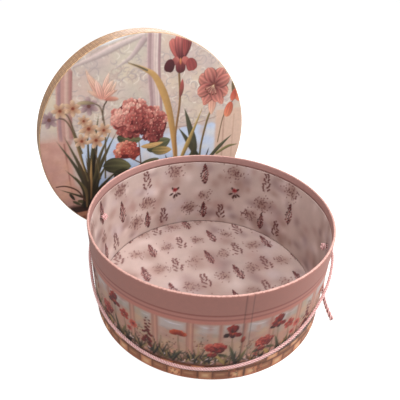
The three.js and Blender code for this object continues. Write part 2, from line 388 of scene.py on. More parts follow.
yarn_fibre, shader, put = new_material("yarn_fibre", Roughness=0.4, Sheen_Weight=0.4, Sheen_Roughness=0.3)
strands = put("ShaderNodeTexNoise", {"Vector": put("ShaderNodeTexCoord").outputs["Object"], "Scale": 260.0,
                                     "Detail": 1.0})
colour = ramp(put, strands.outputs["Fac"], [(0.3, shade(214, 164, 162)), (0.7, shade(246, 220, 216))])
feed(shader, Base_Color=colour)
for name, cord, body, length, seed in (("carry_cord_fuzz", carry_cord, "cord", 0.0016, 4),
                                       ("cord_tail_fuzz", cord_tail, "box", 0.0018, 9)):
    fuzz = made_by_nodes(name, cord.data, fuzz_tree, {
        fuzz_inputs["Fibres Per Square Metre"]: 230000.0,
        fuzz_inputs["Fibre Length"]: length,
        fuzz_inputs["Fibre Radius"]: 0.00005,
        fuzz_inputs["Lean"]: 1.15,
        fuzz_inputs["Seed"]: seed,
        fuzz_inputs["Material"]: yarn_fibre,
    })
    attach(fuzz, body)


# Boards of the box and the lid: greyboard, 2.4 and 2 mm thick. Each has a strip rolled into a ring with a
# disc glued into it, and paper covers them all over, so only the holes' edges show the board.
greyboard, shader, put = new_material("greyboard", Roughness=0.88)
place = put("ShaderNodeTexCoord").outputs["Object"]
pulp = put("ShaderNodeTexNoise", {"Vector": place, "Scale": 700.0, "Detail": 6.0, "Roughness": 0.7})
flecks = put("ShaderNodeTexVoronoi", {"Vector": place, "Scale": 420.0})
blend = worked(put, "MULTIPLY", pulp.outputs["Fac"], flecks.outputs["Distance"])
colour = ramp(put, blend, [(0.05, shade(104, 96, 88)), (0.3, shade(140, 131, 120)),
                           (0.7, shade(168, 158, 146))])
bump = put("ShaderNodeBump", {"Height": pulp.outputs["Fac"], "Strength": 0.4, "Distance": 0.0003})
feed(shader, Base_Color=colour, Normal=bump.outputs["Normal"])
for node in ("wall_board", "base_board", "lid_top_board", "lid_rim_board"):
    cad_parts[node].data.materials.clear()
    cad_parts[node].data.materials.append(greyboard)


# Wrap paper: one sheet of printed paper glued round the wall, folded in under the base and over the rim,
# its two ends overlapped at the front. Its repeat, printed five times round, is a garden frieze over a
# woven-cane band.
PAPER = 0.0004
BOX_HEIGHT = 0.172
WRAP_LOW = 0.0007
LINING_RADIUS = 0.1992
TURN_IN_LOW = 0.156
BASE_TURN_IN = 0.012
RIM_ROUND = 0.0018
FOOT_ROUND = 0.0012
SEAM_ANGLE = math.radians(-99.7)       # where the print's first repeat starts
SEAM_MIDDLE = math.radians(-101.1)     # the middle of the overlap
SEAM_WIDTH = 0.010
SEAM_STEP = 0.00035
SEAM_FADE = 0.0012           # how far its edges take to rise, and their dark lines to fade
REPEATS = 5
WRAP_COLUMNS = 750
WRAP_CELL = 0.0017
PLAIN_FROM = 0.1385          # the wall above this height has plain pink ink, so longer cells will do
PLAIN_CELL = 0.0045
RIM_HIGHLIGHT_AND_WEAR = 0.0032            # how far down from the rim, and up from the foot, the ink is rubbed; the pale rim is also a painted highlight
WORN_FOOT = 0.0026
HOLE_RADIUS = 0.0048
HOLE_SNAP = 0.62             # points within this share of a cell from a hole's edge are moved onto it
HOLE_REACH = 0.03            # how far round from a hole's middle its points may be moved
HOLE_BAND = (0.1135, 0.1305)     # the heights between which every row is doubled at the paper's back
TAIL_SIDESTEP = 0.006        # the right-hand hole is a slot this long, for the cord and its tail
CORD_HOLES = ((RIGHT_HOLE, TAIL_SIDESTEP), (LEFT_HOLE, 0))


class Print:
    """The ink on one repeat of a printed sheet, laid over and over: a colour for each of its points.
    Lengths are in millimetres, colours are mixed as 0 to 255 on a screen, and angles are in degrees from
    the sheet's x."""

    def __init__(self, x, y, dot, ground, repeat=None, seed=1):
        self.x = np.asarray(x, float)
        self.y = np.asarray(y, float)
        self.dot = dot
        self.repeat = repeat
        self.ink = np.tile(np.array(ground, float), (len(self.x), 1))
        self.random = np.random.default_rng(seed)

    def from_x(self, x, points=slice(None)):
        """How far points lie from x, the shorter way round where the sheet repeats."""
        away = self.x[points] - x
        if self.repeat:
            away = (away + self.repeat / 2) % self.repeat - self.repeat / 2
        return away

    def near(self, x, y, reach):
        """The points within reach of a place, and how far they lie from it each way."""
        rows = np.nonzero(abs(self.y - y) < reach)[0]
        away = self.from_x(x, rows)
        kept = abs(away) < reach
        return rows[kept], away[kept], self.y[rows[kept]] - y

    def lay(self, points, cover, colour):
        """Lays ink on points, over what is there. cover is 0 for none and 1 for all of it."""
        cover = np.clip(cover, 0, 1)[:, None]
        self.ink[points] += cover * (colour - self.ink[points])

    def patch(self, left, right, low, high, colour, strength=1.0, soft=None):
        """A rectangle, soft at its edges."""
        soft = soft or self.dot
        middle, half = (left + right) / 2, (right - left) / 2
        cover = np.minimum((half - abs(self.from_x(middle))) / soft + 0.5,
                           ((high - low) / 2 - abs(self.y - (low + high) / 2)) / soft + 0.5)
        hit = np.nonzero(cover > 0)[0]
        self.lay(hit, np.clip(cover[hit], 0, 1) * strength, colour)

    def washes(self, left, right, low, high, count, size, colours, strength):
        """Soft-edged washes of colour here and there, as a painter lays them under the drawing."""
        for k in range(count):
            wide, tall = self.random.uniform(0.5, 1.2, 2) * size
            points, dx, dy = self.near(self.random.uniform(left, right), self.random.uniform(low, high),
                                       max(wide, tall))
            cover = np.exp(-4 * ((dx / wide) ** 2 + (dy / tall) ** 2)) * strength
            self.lay(points, cover, colours[k % len(colours)])

    def petal(self, x, y, turn, length, width, base, tip, bend=0.0, fat=0.55, blunt=1.3, vein=0.0, rim=0.16,
              light=0.14, strength=1.0):
        """A petal or leaf from its root: how wide it is where it is fattest, how blunt its tip, and how it
        bends."""
        points, dx, dy = self.near(x, y, length + width)
        if not len(points):
            return
        heading = math.radians(turn)
        s = (dx * math.cos(heading) + dy * math.sin(heading)) / length
        across = dy * math.cos(heading) - dx * math.sin(heading) - bend * length * s ** 2
        inside = np.clip(s, 0.001, 0.999)
        widening = (inside / fat) ** (blunt * fat)
        narrowing = ((1 - inside) / (1 - fat)) ** (blunt * (1 - fat))
        half = width / 2 * widening * narrowing
        cover = np.where((s > -0.02) & (s < 1.02), (half - abs(across)) / self.dot + 0.5, 0)
        cover *= np.clip(width / self.dot, 0.35, 1)
        hit = cover > 0
        side = (across / (half + self.dot / 4))[hit]
        s = s[hit][:, None]
        colour = np.multiply(base, 1 - s) + np.multiply(tip, s)
        lit = light * side * (0.8 * math.cos(heading) + 0.6 * math.sin(heading))
        lit = lit - rim * np.clip(abs(side) * 3 - 2, 0, 1) + vein * np.cos(side * 9)
        self.lay(points[hit], cover[hit] * strength, colour * (1 + lit)[:, None])

    def stroke(self, line, widths, base, tip, light=0.2, strength=1.0):
        """A stem or blade along a smooth line, as wide as widths say at its start, middle and end."""
        knots = np.array(line, float)
        places = np.linspace(0, len(knots) - 1, 8 * len(knots))
        if len(knots) > 2:
            bends = np.gradient(knots, axis=0)
            k = np.minimum(places.astype(int), len(knots) - 2)
            t = (places - k)[:, None]
            line = ((2 * t ** 3 - 3 * t ** 2 + 1) * knots[k] + (t ** 3 - 2 * t ** 2 + t) * bends[k]
                    + (3 * t ** 2 - 2 * t ** 3) * knots[k + 1] + (t ** 3 - t ** 2) * bends[k + 1])
        else:
            line = knots[0] + (knots[1] - knots[0]) * places[:, None]
        middle = (line.min(axis=0) + line.max(axis=0)) / 2
        reach = (line.max(axis=0) - line.min(axis=0)).max() / 2 + max(widths) + self.dot
        points, dx, dy = self.near(middle[0], middle[1], reach)
        if not len(points):
            return
        ends = line - middle
        step = np.diff(ends, axis=0)
        nearest = np.full(len(points), np.inf)
        share = np.zeros(len(points))
        side = np.zeros(len(points))
        for k, (start, go) in enumerate(zip(ends, step)):
            t = np.clip(((dx - start[0]) * go[0] + (dy - start[1]) * go[1]) / max(go @ go, 1e-9), 0, 1)
            away_x, away_y = dx - start[0] - t * go[0], dy - start[1] - t * go[1]
            away = np.hypot(away_x, away_y)
            closer = away < nearest
            nearest[closer] = away[closer]
            share[closer] = ((k + t) / len(step))[closer]
            side[closer] = (away_y * 0.8 - away_x * 0.6)[closer]
        half = np.interp(share, [0, 0.5, 1], widths) / 2
        cover = (half - nearest) / self.dot + 0.5
        cover *= np.clip(2 * half / self.dot, 0.45, 1)
        hit = cover > 0
        s = share[hit][:, None]
        colour = np.multiply(base, 1 - s) + np.multiply(tip, s)
        lit = 1 + light * np.clip(side[hit] / (half[hit] + self.dot / 3), -1, 1)
        self.lay(points[hit], cover[hit] * strength, colour * lit[:, None])

    def dab(self, x, y, size, colour, strength=1.0):
        """One round touch of the brush."""
        self.petal(x - size / 2, y, 0, size, size, colour, colour, blunt=1.0, rim=0, light=0,
                   strength=strength)

    # The flowers that every sheet of this garden is made up from.

    def iris(self, x, y, size, dark=(92, 34, 36), red=(150, 60, 54), lit=(196, 104, 88)):
        """An iris: three standards held up, three falls hanging down, the left-hand one in shadow."""
        for across, up, heading, length, width, base, tip, looks in (
            (0, -0.1, 72, 1.0, 0.5, dark, red, {"bend": -0.05, "fat": 0.62, "blunt": 0.9, "vein": 0.06}),
            (0, -0.1, 110, 0.96, 0.5, red, lit, {"bend": 0.06, "fat": 0.62, "blunt": 0.9, "vein": 0.06}),
            (0, 0, -90, 0.62, 0.46, red, dark, {"fat": 0.6, "blunt": 0.9, "vein": 0.05}),
            (-0.06, 0, 205, 0.55, 0.3, lit, dark, {"bend": 0.2, "fat": 0.4}),
            (-0.42, -0.02, -108, 0.55, 0.46, dark, (70, 26, 32), {"fat": 0.6, "blunt": 0.8}),
            (0.06, 0, -28, 0.55, 0.32, lit, red, {"bend": -0.2, "fat": 0.4}),
            (0.42, -0.02, -72, 0.55, 0.52, red, red, {"fat": 0.6, "blunt": 0.8, "vein": 0.06}),
            (0, -0.05, 92, 1.0, 0.5, dark, lit, {"fat": 0.66, "blunt": 0.85, "vein": 0.1, "rim": 0.3}),
            (0.16, 0.1, 80, 0.8, 0.26, red, red, {"bend": 0.1, "vein": 0.1, "rim": 0.3}),
            (0, 0.02, -90, 0.3, 0.1, (214, 150, 96), (170, 84, 60), {}),
        ):
            self.petal(x + across * size, y + up * size, heading, length * size, width * size, base, tip,
                       **looks)

    def lily(self, x, y, size, turn=0, base=(226, 172, 150), tip=(168, 84, 74), petals=6):
        """An open lily seen into its throat, with long stamens."""
        for k in [*range(1, petals, 2), *range(0, petals, 2)]:
            heading = turn + 360 / petals * k
            self.petal(x, y, heading, size, 0.72 * size, base, tip, bend=0.08 * (-1) ** k, fat=0.6,
                       blunt=1.05, vein=0.11, rim=0.3)
        for k in range(petals):
            heading = turn + 360 / petals * k
            self.petal(x, y, heading, 0.7 * size, 0.1 * size, (110, 48, 46), (206, 142, 126), fat=0.3)
            self.petal(x, y, heading + 180 / petals, 0.5 * size, 0.09 * size, (84, 40, 42), (130, 62, 58),
                       fat=0.3)
        self.dab(x, y, 0.32 * size, (118, 58, 50), 0.75)
        for k in range(5):
            heading = math.radians(200 + 22 * k)
            end = (x + 0.5 * size * math.cos(heading), y + 0.5 * size * math.sin(heading))
            self.stroke([(x, y), end], (0.035 * size, 0.03 * size, 0.03 * size), (226, 196, 160),
                        (232, 200, 166))
            self.dab(*end, 0.09 * size, (92, 50, 34))

    def hydrangea(self, x, y, wide, high, floret, count, shadow=(112, 44, 44), red=(172, 88, 78),
                  lit=(222, 158, 138)):
        """A mop head of four-petalled florets, in shadow at its foot and lit from the upper left."""
        self.petal(x - 0.47 * wide, y, 0, 0.94 * wide, 0.9 * high, shadow, shadow, fat=0.5, blunt=0.9,
                   rim=0)
        shadow, red, lit = (np.array(colour, float) for colour in (shadow, red, lit))
        places = []
        while len(places) < count:
            px, py = self.random.uniform(-1, 1, 2)
            if px * px + py * py < 1:
                places.append((px, py))
        places.sort(key=lambda place: -abs(place[0]) - abs(place[1]))
        for px, py in places:
            glow = np.clip(0.5 + 0.38 * py - 0.22 * px + self.random.normal(0, 0.17), 0, 1)
            mixed = shadow + (red - shadow) * min(1, 2 * glow) + (lit - red) * max(0, 2 * glow - 1)
            fx, fy = x + 0.5 * wide * px, y + 0.5 * high * py
            turn = self.random.uniform(0, 90)
            for k in range(4):
                self.petal(fx, fy, turn + 90 * k, 0.56 * floret, 0.6 * floret, mixed * 0.8, mixed * 1.08,
                           fat=0.6, blunt=0.8, rim=0.3)
            self.dab(fx, fy, 0.16 * floret, lit)

    def poppy(self, x, y, size, base=(150, 66, 44), tip=(204, 112, 82)):
        """A flat open poppy seen from its side."""
        for heading, length in ((172, 0.62), (8, 0.62), (140, 0.5), (40, 0.5), (90, 0.42)):
            self.petal(x, y - 0.1 * size, heading, length * size, 0.42 * size, base, tip, fat=0.6,
                       blunt=0.8, vein=0.05)
        self.petal(x - 0.3 * size, y - 0.08 * size, 0, 0.6 * size, 0.2 * size, base, base, blunt=0.9)

    def spire(self, x, y, high, wide, colour, lit, lean=0, bells=16):
        """A foxglove or larkspur: bells in pairs up a stem, smaller towards the top."""
        top = (x + high * math.tan(math.radians(lean)), y + high)
        self.stroke([(x, y), top], (0.9, 0.8, 0.4), (96, 76, 56), (120, 84, 62))
        for k in range(bells):
            share = k / bells
            size = wide * (0.62 - 0.42 * share)
            px = x + (top[0] - x) * share + self.random.uniform(-0.1, 0.1) * wide
            heading = -90 + (-1) ** k * self.random.uniform(30, 75)
            self.petal(px, y + high * (0.06 + 0.94 * share), heading, size, 0.62 * size, colour, lit,
                       fat=0.7, blunt=0.9)

    def star(self, x, y, size, base, tip, petals=6, eye=None, turn=15):
        """A small open flower: a narcissus, a windflower or a daisy."""
        for k in range(petals):
            self.petal(x, y, turn + 360 / petals * k, 0.5 * size, 0.26 * size, base, tip, fat=0.55,
                       vein=0.03)
        self.dab(x, y, 0.2 * size, eye or base)

    def tuft(self, x, y, count, high, spread, colours, wide=2.0):
        """Grass blades fanned out from one root."""
        for k in range(count):
            lean = -spread + 2 * spread * (k + 0.5) / count + self.random.uniform(-5, 5)
            colour = np.array(colours[k % len(colours)], float)
            root = x + self.random.uniform(-1.5, 1.5)
            tall = high * self.random.uniform(0.6, 1)
            self.petal(root, y, 90 - lean, tall, wide, colour * 0.85, colour * 1.15, bend=-0.004 * lean,
                       fat=0.3, blunt=1.8)

    def leaves(self, left, right, low, high, count, colours, size):
        """Loose leaves scattered low in a bed."""
        for k in range(count):
            colour = np.array(colours[k % len(colours)], float) * self.random.uniform(0.8, 1.15)
            length = size * self.random.uniform(0.6, 1.2)
            self.petal(self.random.uniform(left, right), self.random.uniform(low, high),
                       self.random.uniform(15, 165), length, 0.32 * length, colour, colour * 1.15,
                       vein=0.05)


PINK = (172, 131, 126)
PINK_LINE = (138, 84, 80)
# RIM_PALE: the pale paper where the wrap's ink is rubbed off, which along the rim is also a painted
# highlight
RIM_PALE = (208, 164, 154)
FRIEZE_CONTRAST = 0.3
IRIS_REDS = ((66, 20, 26), (128, 42, 38), (166, 74, 62))
GREENS = ((72, 62, 48), (112, 98, 68), (156, 138, 100), (48, 44, 40), (132, 98, 78))


def print_frieze(sheet):
    """One repeat of the wrap: moulding lines, a row of windows with garden flowers in front, and a cane
    band."""
    def band(low, high, colour, strength=1.0, soft=None):
        """A band of ink all along the repeat."""
        sheet.patch(-1, 256, low, high, colour, strength, soft)

    # windows: posts at (place, width), and panes of pale glass between them
    posts = [(33, 3), (84, 8), (122, 8), (173, 9), (215, 3), (248, 3)]
    band(34, 127, (178, 146, 136))
    following = posts[1:] + [(posts[0][0] + sheet.repeat, posts[0][1])]
    for (place, wide), (far, far_wide) in zip(posts, following):
        left, right = place + wide / 2 + 1.5, far - far_wide / 2 - 1.5
        sheet.patch(left, right, 66, 120, (184, 162, 154), 0.85, soft=6)
        sheet.patch(left + 1, right - 1, 102, 118, (184, 178, 180), soft=7)
        sheet.patch(left, right, 50, 84, (180, 154, 138), 0.7, soft=14)
        reach = right - left
        sheet.stroke([(left + 0.1 * reach, 117), (left + 0.5 * reach, 113), (right - 0.1 * reach, 114)],
                     (1, 3.4, 1), (196, 200, 216), (206, 206, 214), strength=0.75)
        sheet.stroke([(left + 0.1 * reach, 104), (left + 0.5 * reach, 98), (right - 0.1 * reach, 96)],
                     (1, 2.2, 1), (152, 150, 160), (190, 182, 182), strength=0.7)
        sheet.stroke([(left, 88), (right, 80)], (1, 1.6, 1), (170, 150, 142), (170, 150, 142), strength=0.6)
    sheet.washes(0, 255, 52, 120, 110, 15, ((190, 168, 146), (172, 138, 132), (160, 156, 148),
                                            (188, 150, 136)), 0.6)
    for place, wide in posts:
        sheet.patch(place - wide / 2, place + wide / 2, 36, 127, (180, 140, 130), 0.7, soft=3)
        sheet.patch(place - wide / 2 - 0.6, place - wide / 2 + 0.8, 36, 125, (150, 106, 98), 0.55, soft=2)
        if wide > 5:
            sheet.patch(place - 0.4, place + 1.4, 36, 125, (204, 168, 150), 0.6, soft=2)
            sheet.patch(place + wide / 2 - 1.2, place + wide / 2, 36, 125, (150, 100, 90), 0.55, soft=2)
    band(120, 128, (184, 134, 126), soft=2)
    band(127.4, 129.2, PINK_LINE, 0.9)
    band(129.4, 135, (186, 138, 132), 0.8, soft=2)
    band(135.2, 137.4, PINK_LINE, 0.95)
    # the bed: dim soil, then loose leaves and tufts of grass
    band(30, 50, (160, 130, 120), 0.75, soft=16)
    band(30, 37, (104, 80, 76), 0.7, soft=6)
    sheet.leaves(0, 255, 34, 54, 60, ((124, 104, 92), (160, 130, 112), (96, 84, 78), (184, 144, 134)), 10)
    for place, high, spread in ((8, 30, 42), (58, 28, 36), (97, 34, 38), (128, 48, 34), (139, 32, 44),
                                (165, 26, 40), (184, 46, 36), (196, 28, 50), (224, 36, 40)):
        sheet.tuft(place, 35, 13, high, spread, GREENS, 2.2)
    sheet.leaves(0, 255, 35, 44, 22, GREENS, 8)
    for place, high, spread in ((20, 24, 30), (74, 30, 26), (118, 34, 20), (150, 30, 26), (178, 36, 22),
                                (204, 26, 26), (240, 28, 24)):
        sheet.tuft(place, 35, 7, high, spread, ((40, 36, 32), (52, 48, 38), (150, 132, 100)), 2.9)
    sheet.leaves(0, 255, 35, 47, 70, ((190, 180, 186), (56, 50, 48), (176, 158, 162), (204, 178, 172)), 6)
    # flowers, from the seam onwards
    for k in range(130):
        place = (3, 96, 142, 190)[k % 4]
        sheet.dab(place + sheet.random.normal(0, 7), 70 + sheet.random.normal(0, 9), 2.0,
                  ((112, 62, 50), (176, 140, 112), (92, 74, 58))[k % 3], 0.8)
    sheet.spire(14, 48, 26, 9, (140, 78, 72), (178, 110, 98), bells=10)
    for stem, place in (((26, 36), (26, 68)), ((210, 36), (210, 66)), ((46, 36), (46, 98)),
                        ((231, 36), (231, 98)), ((67, 36), (66, 84)), ((156, 36), (156, 92)),
                        ((84, 36), (86, 78)), ((36, 36), (38, 96))):
        sheet.stroke([stem, ((stem[0] + place[0]) / 2 + 1.5, 60), place], (1.8, 1.4, 1.1), (82, 72, 54),
                     (124, 100, 72))
    for place in (46, 231):
        sheet.petal(place + 8, 36, 100, 44, 5.5, (60, 58, 48), (110, 104, 74), bend=0.1, fat=0.4, blunt=1.8)
        sheet.petal(place + 13, 36, 80, 34, 5, (84, 80, 58), (140, 128, 88), bend=-0.14, fat=0.4, blunt=1.8)
        sheet.petal(place - 8, 36, 112, 30, 6, (150, 136, 92), (186, 168, 120), bend=0.2, fat=0.4,
                    blunt=1.8)
        sheet.iris(place, 103, 16.5, *IRIS_REDS)
    for place in (26, 210):
        sheet.petal(place + 3, 60, -25, 17, 6, (70, 66, 54), (120, 108, 80), vein=0.1)
        sheet.petal(place - 3, 60, 200, 16, 6, (60, 58, 50), (104, 96, 74), vein=0.1)
        sheet.hydrangea(place, 73, 29, 19, 4.8, 60, (104, 34, 36), (162, 66, 60), (212, 134, 118))
        sheet.hydrangea(place - 5, 58, 12, 8, 4.4, 14, (96, 34, 34), (150, 62, 56), (190, 110, 96))
    sheet.lily(67, 89, 10, 20, (132, 50, 44), (184, 88, 74), 5)
    sheet.iris(38, 100, 9, *IRIS_REDS)
    sheet.star(84, 80, 17, (150, 66, 60), (206, 126, 110), 8, (110, 46, 42))
    sheet.star(76, 66, 11, (136, 58, 54), (196, 116, 102), 7, (104, 44, 42))
    sheet.spire(108, 54, 56, 17, (82, 24, 28), (132, 50, 46), lean=2, bells=18)
    sheet.poppy(156, 96, 20, (138, 58, 40), (186, 98, 72))
    sheet.petal(245, 80, 78, 14, 6, (120, 60, 48), (178, 90, 76))
    sheet.stroke([(244, 40), (246, 80)], (1.4, 1.1, 0.9), (92, 78, 56), (124, 96, 68))
    sheet.petal(146, 40, 55, 26, 3, (62, 62, 56), (110, 106, 86), fat=0.4)
    middle = sheet.ink[sheet.y < 127].mean(axis=0)
    sheet.ink[sheet.y < 127] += FRIEZE_CONTRAST * (sheet.ink - middle)[sheet.y < 127]
    sheet.ink *= (0.97, 0.87, 0.83)
    # the cane band: two rows of glossy splints, over and under, along the foot
    band(-6, 33.5, (118, 72, 46))
    cells = 11
    pitch = sheet.repeat / cells
    for row, (low, high) in enumerate(((-2, 20.5), (21.5, 33))):
        for k in range(cells):
            middle = (k + 0.5 + 0.5 * row) * pitch
            over = (k + row) % 2 == 0
            glow = sheet.random.uniform(0.9, 1.1)
            tall, wide = high - low, pitch
            if over:
                base, tip = np.array((204, 134, 96)) * glow, np.array((236, 178, 136)) * glow
                sheet.patch(middle - wide / 2, middle + wide / 2, low, high, (70, 38, 28), soft=2)
                sheet.patch(middle - wide / 2 + 1.4, middle + wide / 2 - 1.4, low + 0.8, high - 0.8, base,
                            soft=3)
                sheet.patch(middle - wide / 4, middle + wide / 4, low + 0.3 * tall, high - 0.24 * tall,
                            tip, 0.9, soft=6)
                sheet.patch(middle - wide / 6, middle + wide / 7, low + 0.5 * tall, high - 0.3 * tall,
                            (232, 192, 146), 0.9, soft=4)
            else:
                base = np.array((176, 110, 80)) * glow
                sheet.patch(middle - wide / 2, middle + wide / 2, low + 2.4, high - 2.4, base, soft=2)
                for line in range(3):
                    y = low + tall * (0.28 + 0.22 * line)
                    sheet.patch(middle - wide / 2, middle + wide / 2, y, y + 1.2, (96, 58, 38), 0.7)
                sheet.patch(middle - wide / 3, middle + wide / 5, low + 0.55 * tall, high - 0.25 * tall,
                            (212, 162, 120), 0.7, soft=5)
    for place in (22, 150, 238):
        for k in range(26):
            sheet.dab(place + sheet.random.uniform(-9, 9), sheet.random.uniform(4, 26), 2.4,
                      ((150, 52, 38), (206, 120, 84), (92, 44, 30))[k % 3], 0.8)
    band(-4, 5, (206, 128, 96), 0.6, soft=5)
    band(32.2, 34.6, (96, 60, 48), 0.8)


def rows(start, end, spacing):
    """Points from one (radius, height) place to the next, without the last, at most this far apart."""
    start, end = np.array(start, float), np.array(end, float)
    count = max(1, math.ceil(np.linalg.norm(end - start) / spacing - 1e-6))
    return [tuple(start + (end - start) * k / count) for k in range(count)]


def corner(middle, radius, first, last, steps):
    """Points round a corner, from one direction in degrees to another."""
    return [(middle[0] + radius * math.cos(a), middle[1] + radius * math.sin(a))
            for a in np.radians(np.linspace(first, last, steps + 1))]


def turn_from(angle, middle):
    """The turn from a middle to an angle, the shorter way round."""
    return (angle - middle + math.pi) % (2 * math.pi) - math.pi


def turned_paper(name, section, columns, start, holes=(), swell=None):
    """A closed sheet turned round the axis. section is its outline, (radius, height) counter-clockwise, and
    column 0 stands at the angle start. A hole is (angle, sideways reach), cut through the rows within
    HOLE_BAND, which the outline has twice. swell gives how much a point stands out, from its angle and
    whether it is outside."""
    section = np.array(section, float)
    angle = np.tile(start + 2 * math.pi * np.arange(columns) / columns, (len(section), 1))
    radius = np.tile(section[:, :1], (1, columns))
    height = np.tile(section[:, 1:], (1, columns))
    if swell is not None:
        radius = radius + swell(angle, section)
    count = len(section)
    gone = np.zeros((count, columns), bool)
    joins = []
    banded = np.nonzero((section[:, 1] > HOLE_BAND[0] - 1e-6) & (section[:, 1] < HOLE_BAND[1] + 1e-6))[0]
    if holes:
        split = np.nonzero(np.diff(banded) > 1)[0][0] + 1
        front, back = banded[:split], banded[split:][::-1]
        for middle, reach in holes:
            across = turn_from(angle[front], middle) * radius[front]
            rise = height[front] - HOLE_HEIGHT
            nearest = np.clip(across, 0, reach)
            away = np.hypot(across - nearest, rise)
            moved = abs(away - HOLE_RADIUS) < HOLE_SNAP * WRAP_CELL
            grow = np.where(moved, HOLE_RADIUS / np.maximum(away, 1e-6), 1)
            across = nearest + (across - nearest) * grow
            rise = rise * grow
            near = abs(across) < HOLE_REACH
            for layer in (front, back):
                angle[layer] = np.where(near, middle + across / radius[front], angle[layer])
                height[layer] = np.where(near, HOLE_HEIGHT + rise, height[layer])
            for i in range(len(front) - 1):
                for j in np.nonzero(near[i])[0]:
                    n = (j + 1) % columns
                    cx = (across[i, j] + across[i, n] + across[i + 1, j] + across[i + 1, n]) / 4
                    cy = (rise[i, j] + rise[i, n] + rise[i + 1, j] + rise[i + 1, n]) / 4
                    if math.hypot(cx - min(max(cx, 0), reach), cy) < HOLE_RADIUS - 1e-5:
                        gone[front[i], j] = True
                        gone[min(back[i], back[i + 1]), j] = True
                        joins.append((i, j))
    number = np.arange(count * columns).reshape(count, columns)
    faces = []
    for i in range(count):
        up = (i + 1) % count
        for j in range(columns):
            if not gone[i, j]:
                n = (j + 1) % columns
                faces.append((number[i, j], number[i, n], number[up, n], number[up, j]))
    cut = set(joins)
    cell_sides = (((0, 0), (0, 1), (-1, 0)), ((0, 1), (1, 1), (0, 1)), ((1, 1), (1, 0), (1, 0)),
                  ((1, 0), (0, 0), (0, -1)))
    for i, j in joins:
        for start_step, end_step, beyond in cell_sides:
            if (i + beyond[0], (j + beyond[1]) % columns) not in cut:
                (a, ja), (b, jb) = ((i + up, (j + on) % columns) for up, on in (start_step, end_step))
                faces.append((number[front[a], ja], number[front[b], jb], number[back[b], jb],
                              number[back[a], ja]))
    points = np.stack([radius * np.cos(angle), radius * np.sin(angle), height], axis=-1).reshape(-1, 3)
    return new_piece(name, points, faces), angle, height


def inked(piece, ink):
    """Keeps a sheet's ink with its points, for its material to read: one colour for each, or one for
    all."""
    colour = np.ones((len(piece.data.vertices), 4))
    colour[:, :3] = linear(np.reshape(ink, (-1, 3)))
    attribute = piece.data.color_attributes.new("ink", "FLOAT_COLOR", "POINT")
    attribute.data.foreach_set("color", colour.astype(np.float32).ravel())


# Printed paper, the effect that every covering sheet shares: ink that lies unevenly on the paper's fibres,
# and bare paper where a worn edge has lost it, which along the wrap's rim is also a painted highlight.
paper_group = bpy.data.node_groups.new("Printed paper", "ShaderNodeTree")
named_inputs(paper_group, (
    ("Ink", "NodeSocketColor", (0.5, 0.5, 0.5, 1)),
    ("Place", "NodeSocketVector", None),
    ("Mottle Scale", "NodeSocketFloat", 60.0),
    ("Mottle", "NodeSocketFloat", 0.1),
    ("Fibre Scale", "NodeSocketFloat", 1500.0),
    ("Rub", "NodeSocketFloat", 0.0),
    ("Bare Paper And Highlight", "NodeSocketColor", (0.7, 0.6, 0.55, 1)),
))
for label, kind in (("Colour", "NodeSocketColor"), ("Roughness", "NodeSocketFloat"),
                    ("Height", "NodeSocketFloat")):
    paper_group.interface.new_socket(label, in_out="OUTPUT", socket_type=kind)
put = node_maker(paper_group)
given = put("NodeGroupInput").outputs
clouds = put("ShaderNodeTexNoise", {"Vector": given["Place"], "Scale": given["Mottle Scale"], "Detail": 5.0,
                                    "Roughness": 0.6}).outputs["Fac"]
fibre = put("ShaderNodeTexNoise", {"Vector": given["Place"], "Scale": given["Fibre Scale"], "Detail": 3.0,
                                   "Roughness": 0.7}).outputs["Fac"]
centred = worked(put, "SUBTRACT", clouds, 0.5)
swing = worked(put, "MULTIPLY", centred, given["Mottle"])
fine = worked(put, "SUBTRACT", fibre, 0.5)
fine = worked(put, "MULTIPLY_ADD", fine, 0.16, swing)
gain = worked(put, "ADD", fine, 1.0)
mottled = put("ShaderNodeVectorMath", {0: given["Ink"], "Scale": gain}, operation="SCALE").outputs[0]
# The rub mask fades the ink to the pale paper colour in a broken band: rubbed wear, and along the wrap's
# rim a painted highlight too.
pale_edge_noise = put("ShaderNodeTexNoise", {"Vector": given["Place"], "Scale": 320.0, "Detail": 4.0}).outputs["Fac"]
scuffed_and_highlit = worked(put, "MULTIPLY", pale_edge_noise, given["Rub"])
rubbed_and_highlit = put("ShaderNodeMapRange", {"Value": scuffed_and_highlit, "From Min": 0.28, "From Max": 0.52}).outputs["Result"]
mixed = put("ShaderNodeMix", data_type="RGBA")
paper_group.links.new(rubbed_and_highlit, mixed.inputs[0])
paper_group.links.new(mottled, mixed.inputs[6])
paper_group.links.new(given["Bare Paper And Highlight"], mixed.inputs[7])
rough = put("ShaderNodeMapRange", {"Value": clouds, "From Min": 0.3, "From Max": 0.7, "To Min": 0.42,
                                   "To Max": 0.56})
rough = worked(put, "MULTIPLY_ADD", rubbed_and_highlit, 0.25, rough.outputs["Result"])
tooth = worked(put, "MULTIPLY_ADD", clouds, 0.5, fibre)
put("NodeGroupOutput", {"Colour": mixed.outputs[2], "Roughness": rough, "Height": tooth})


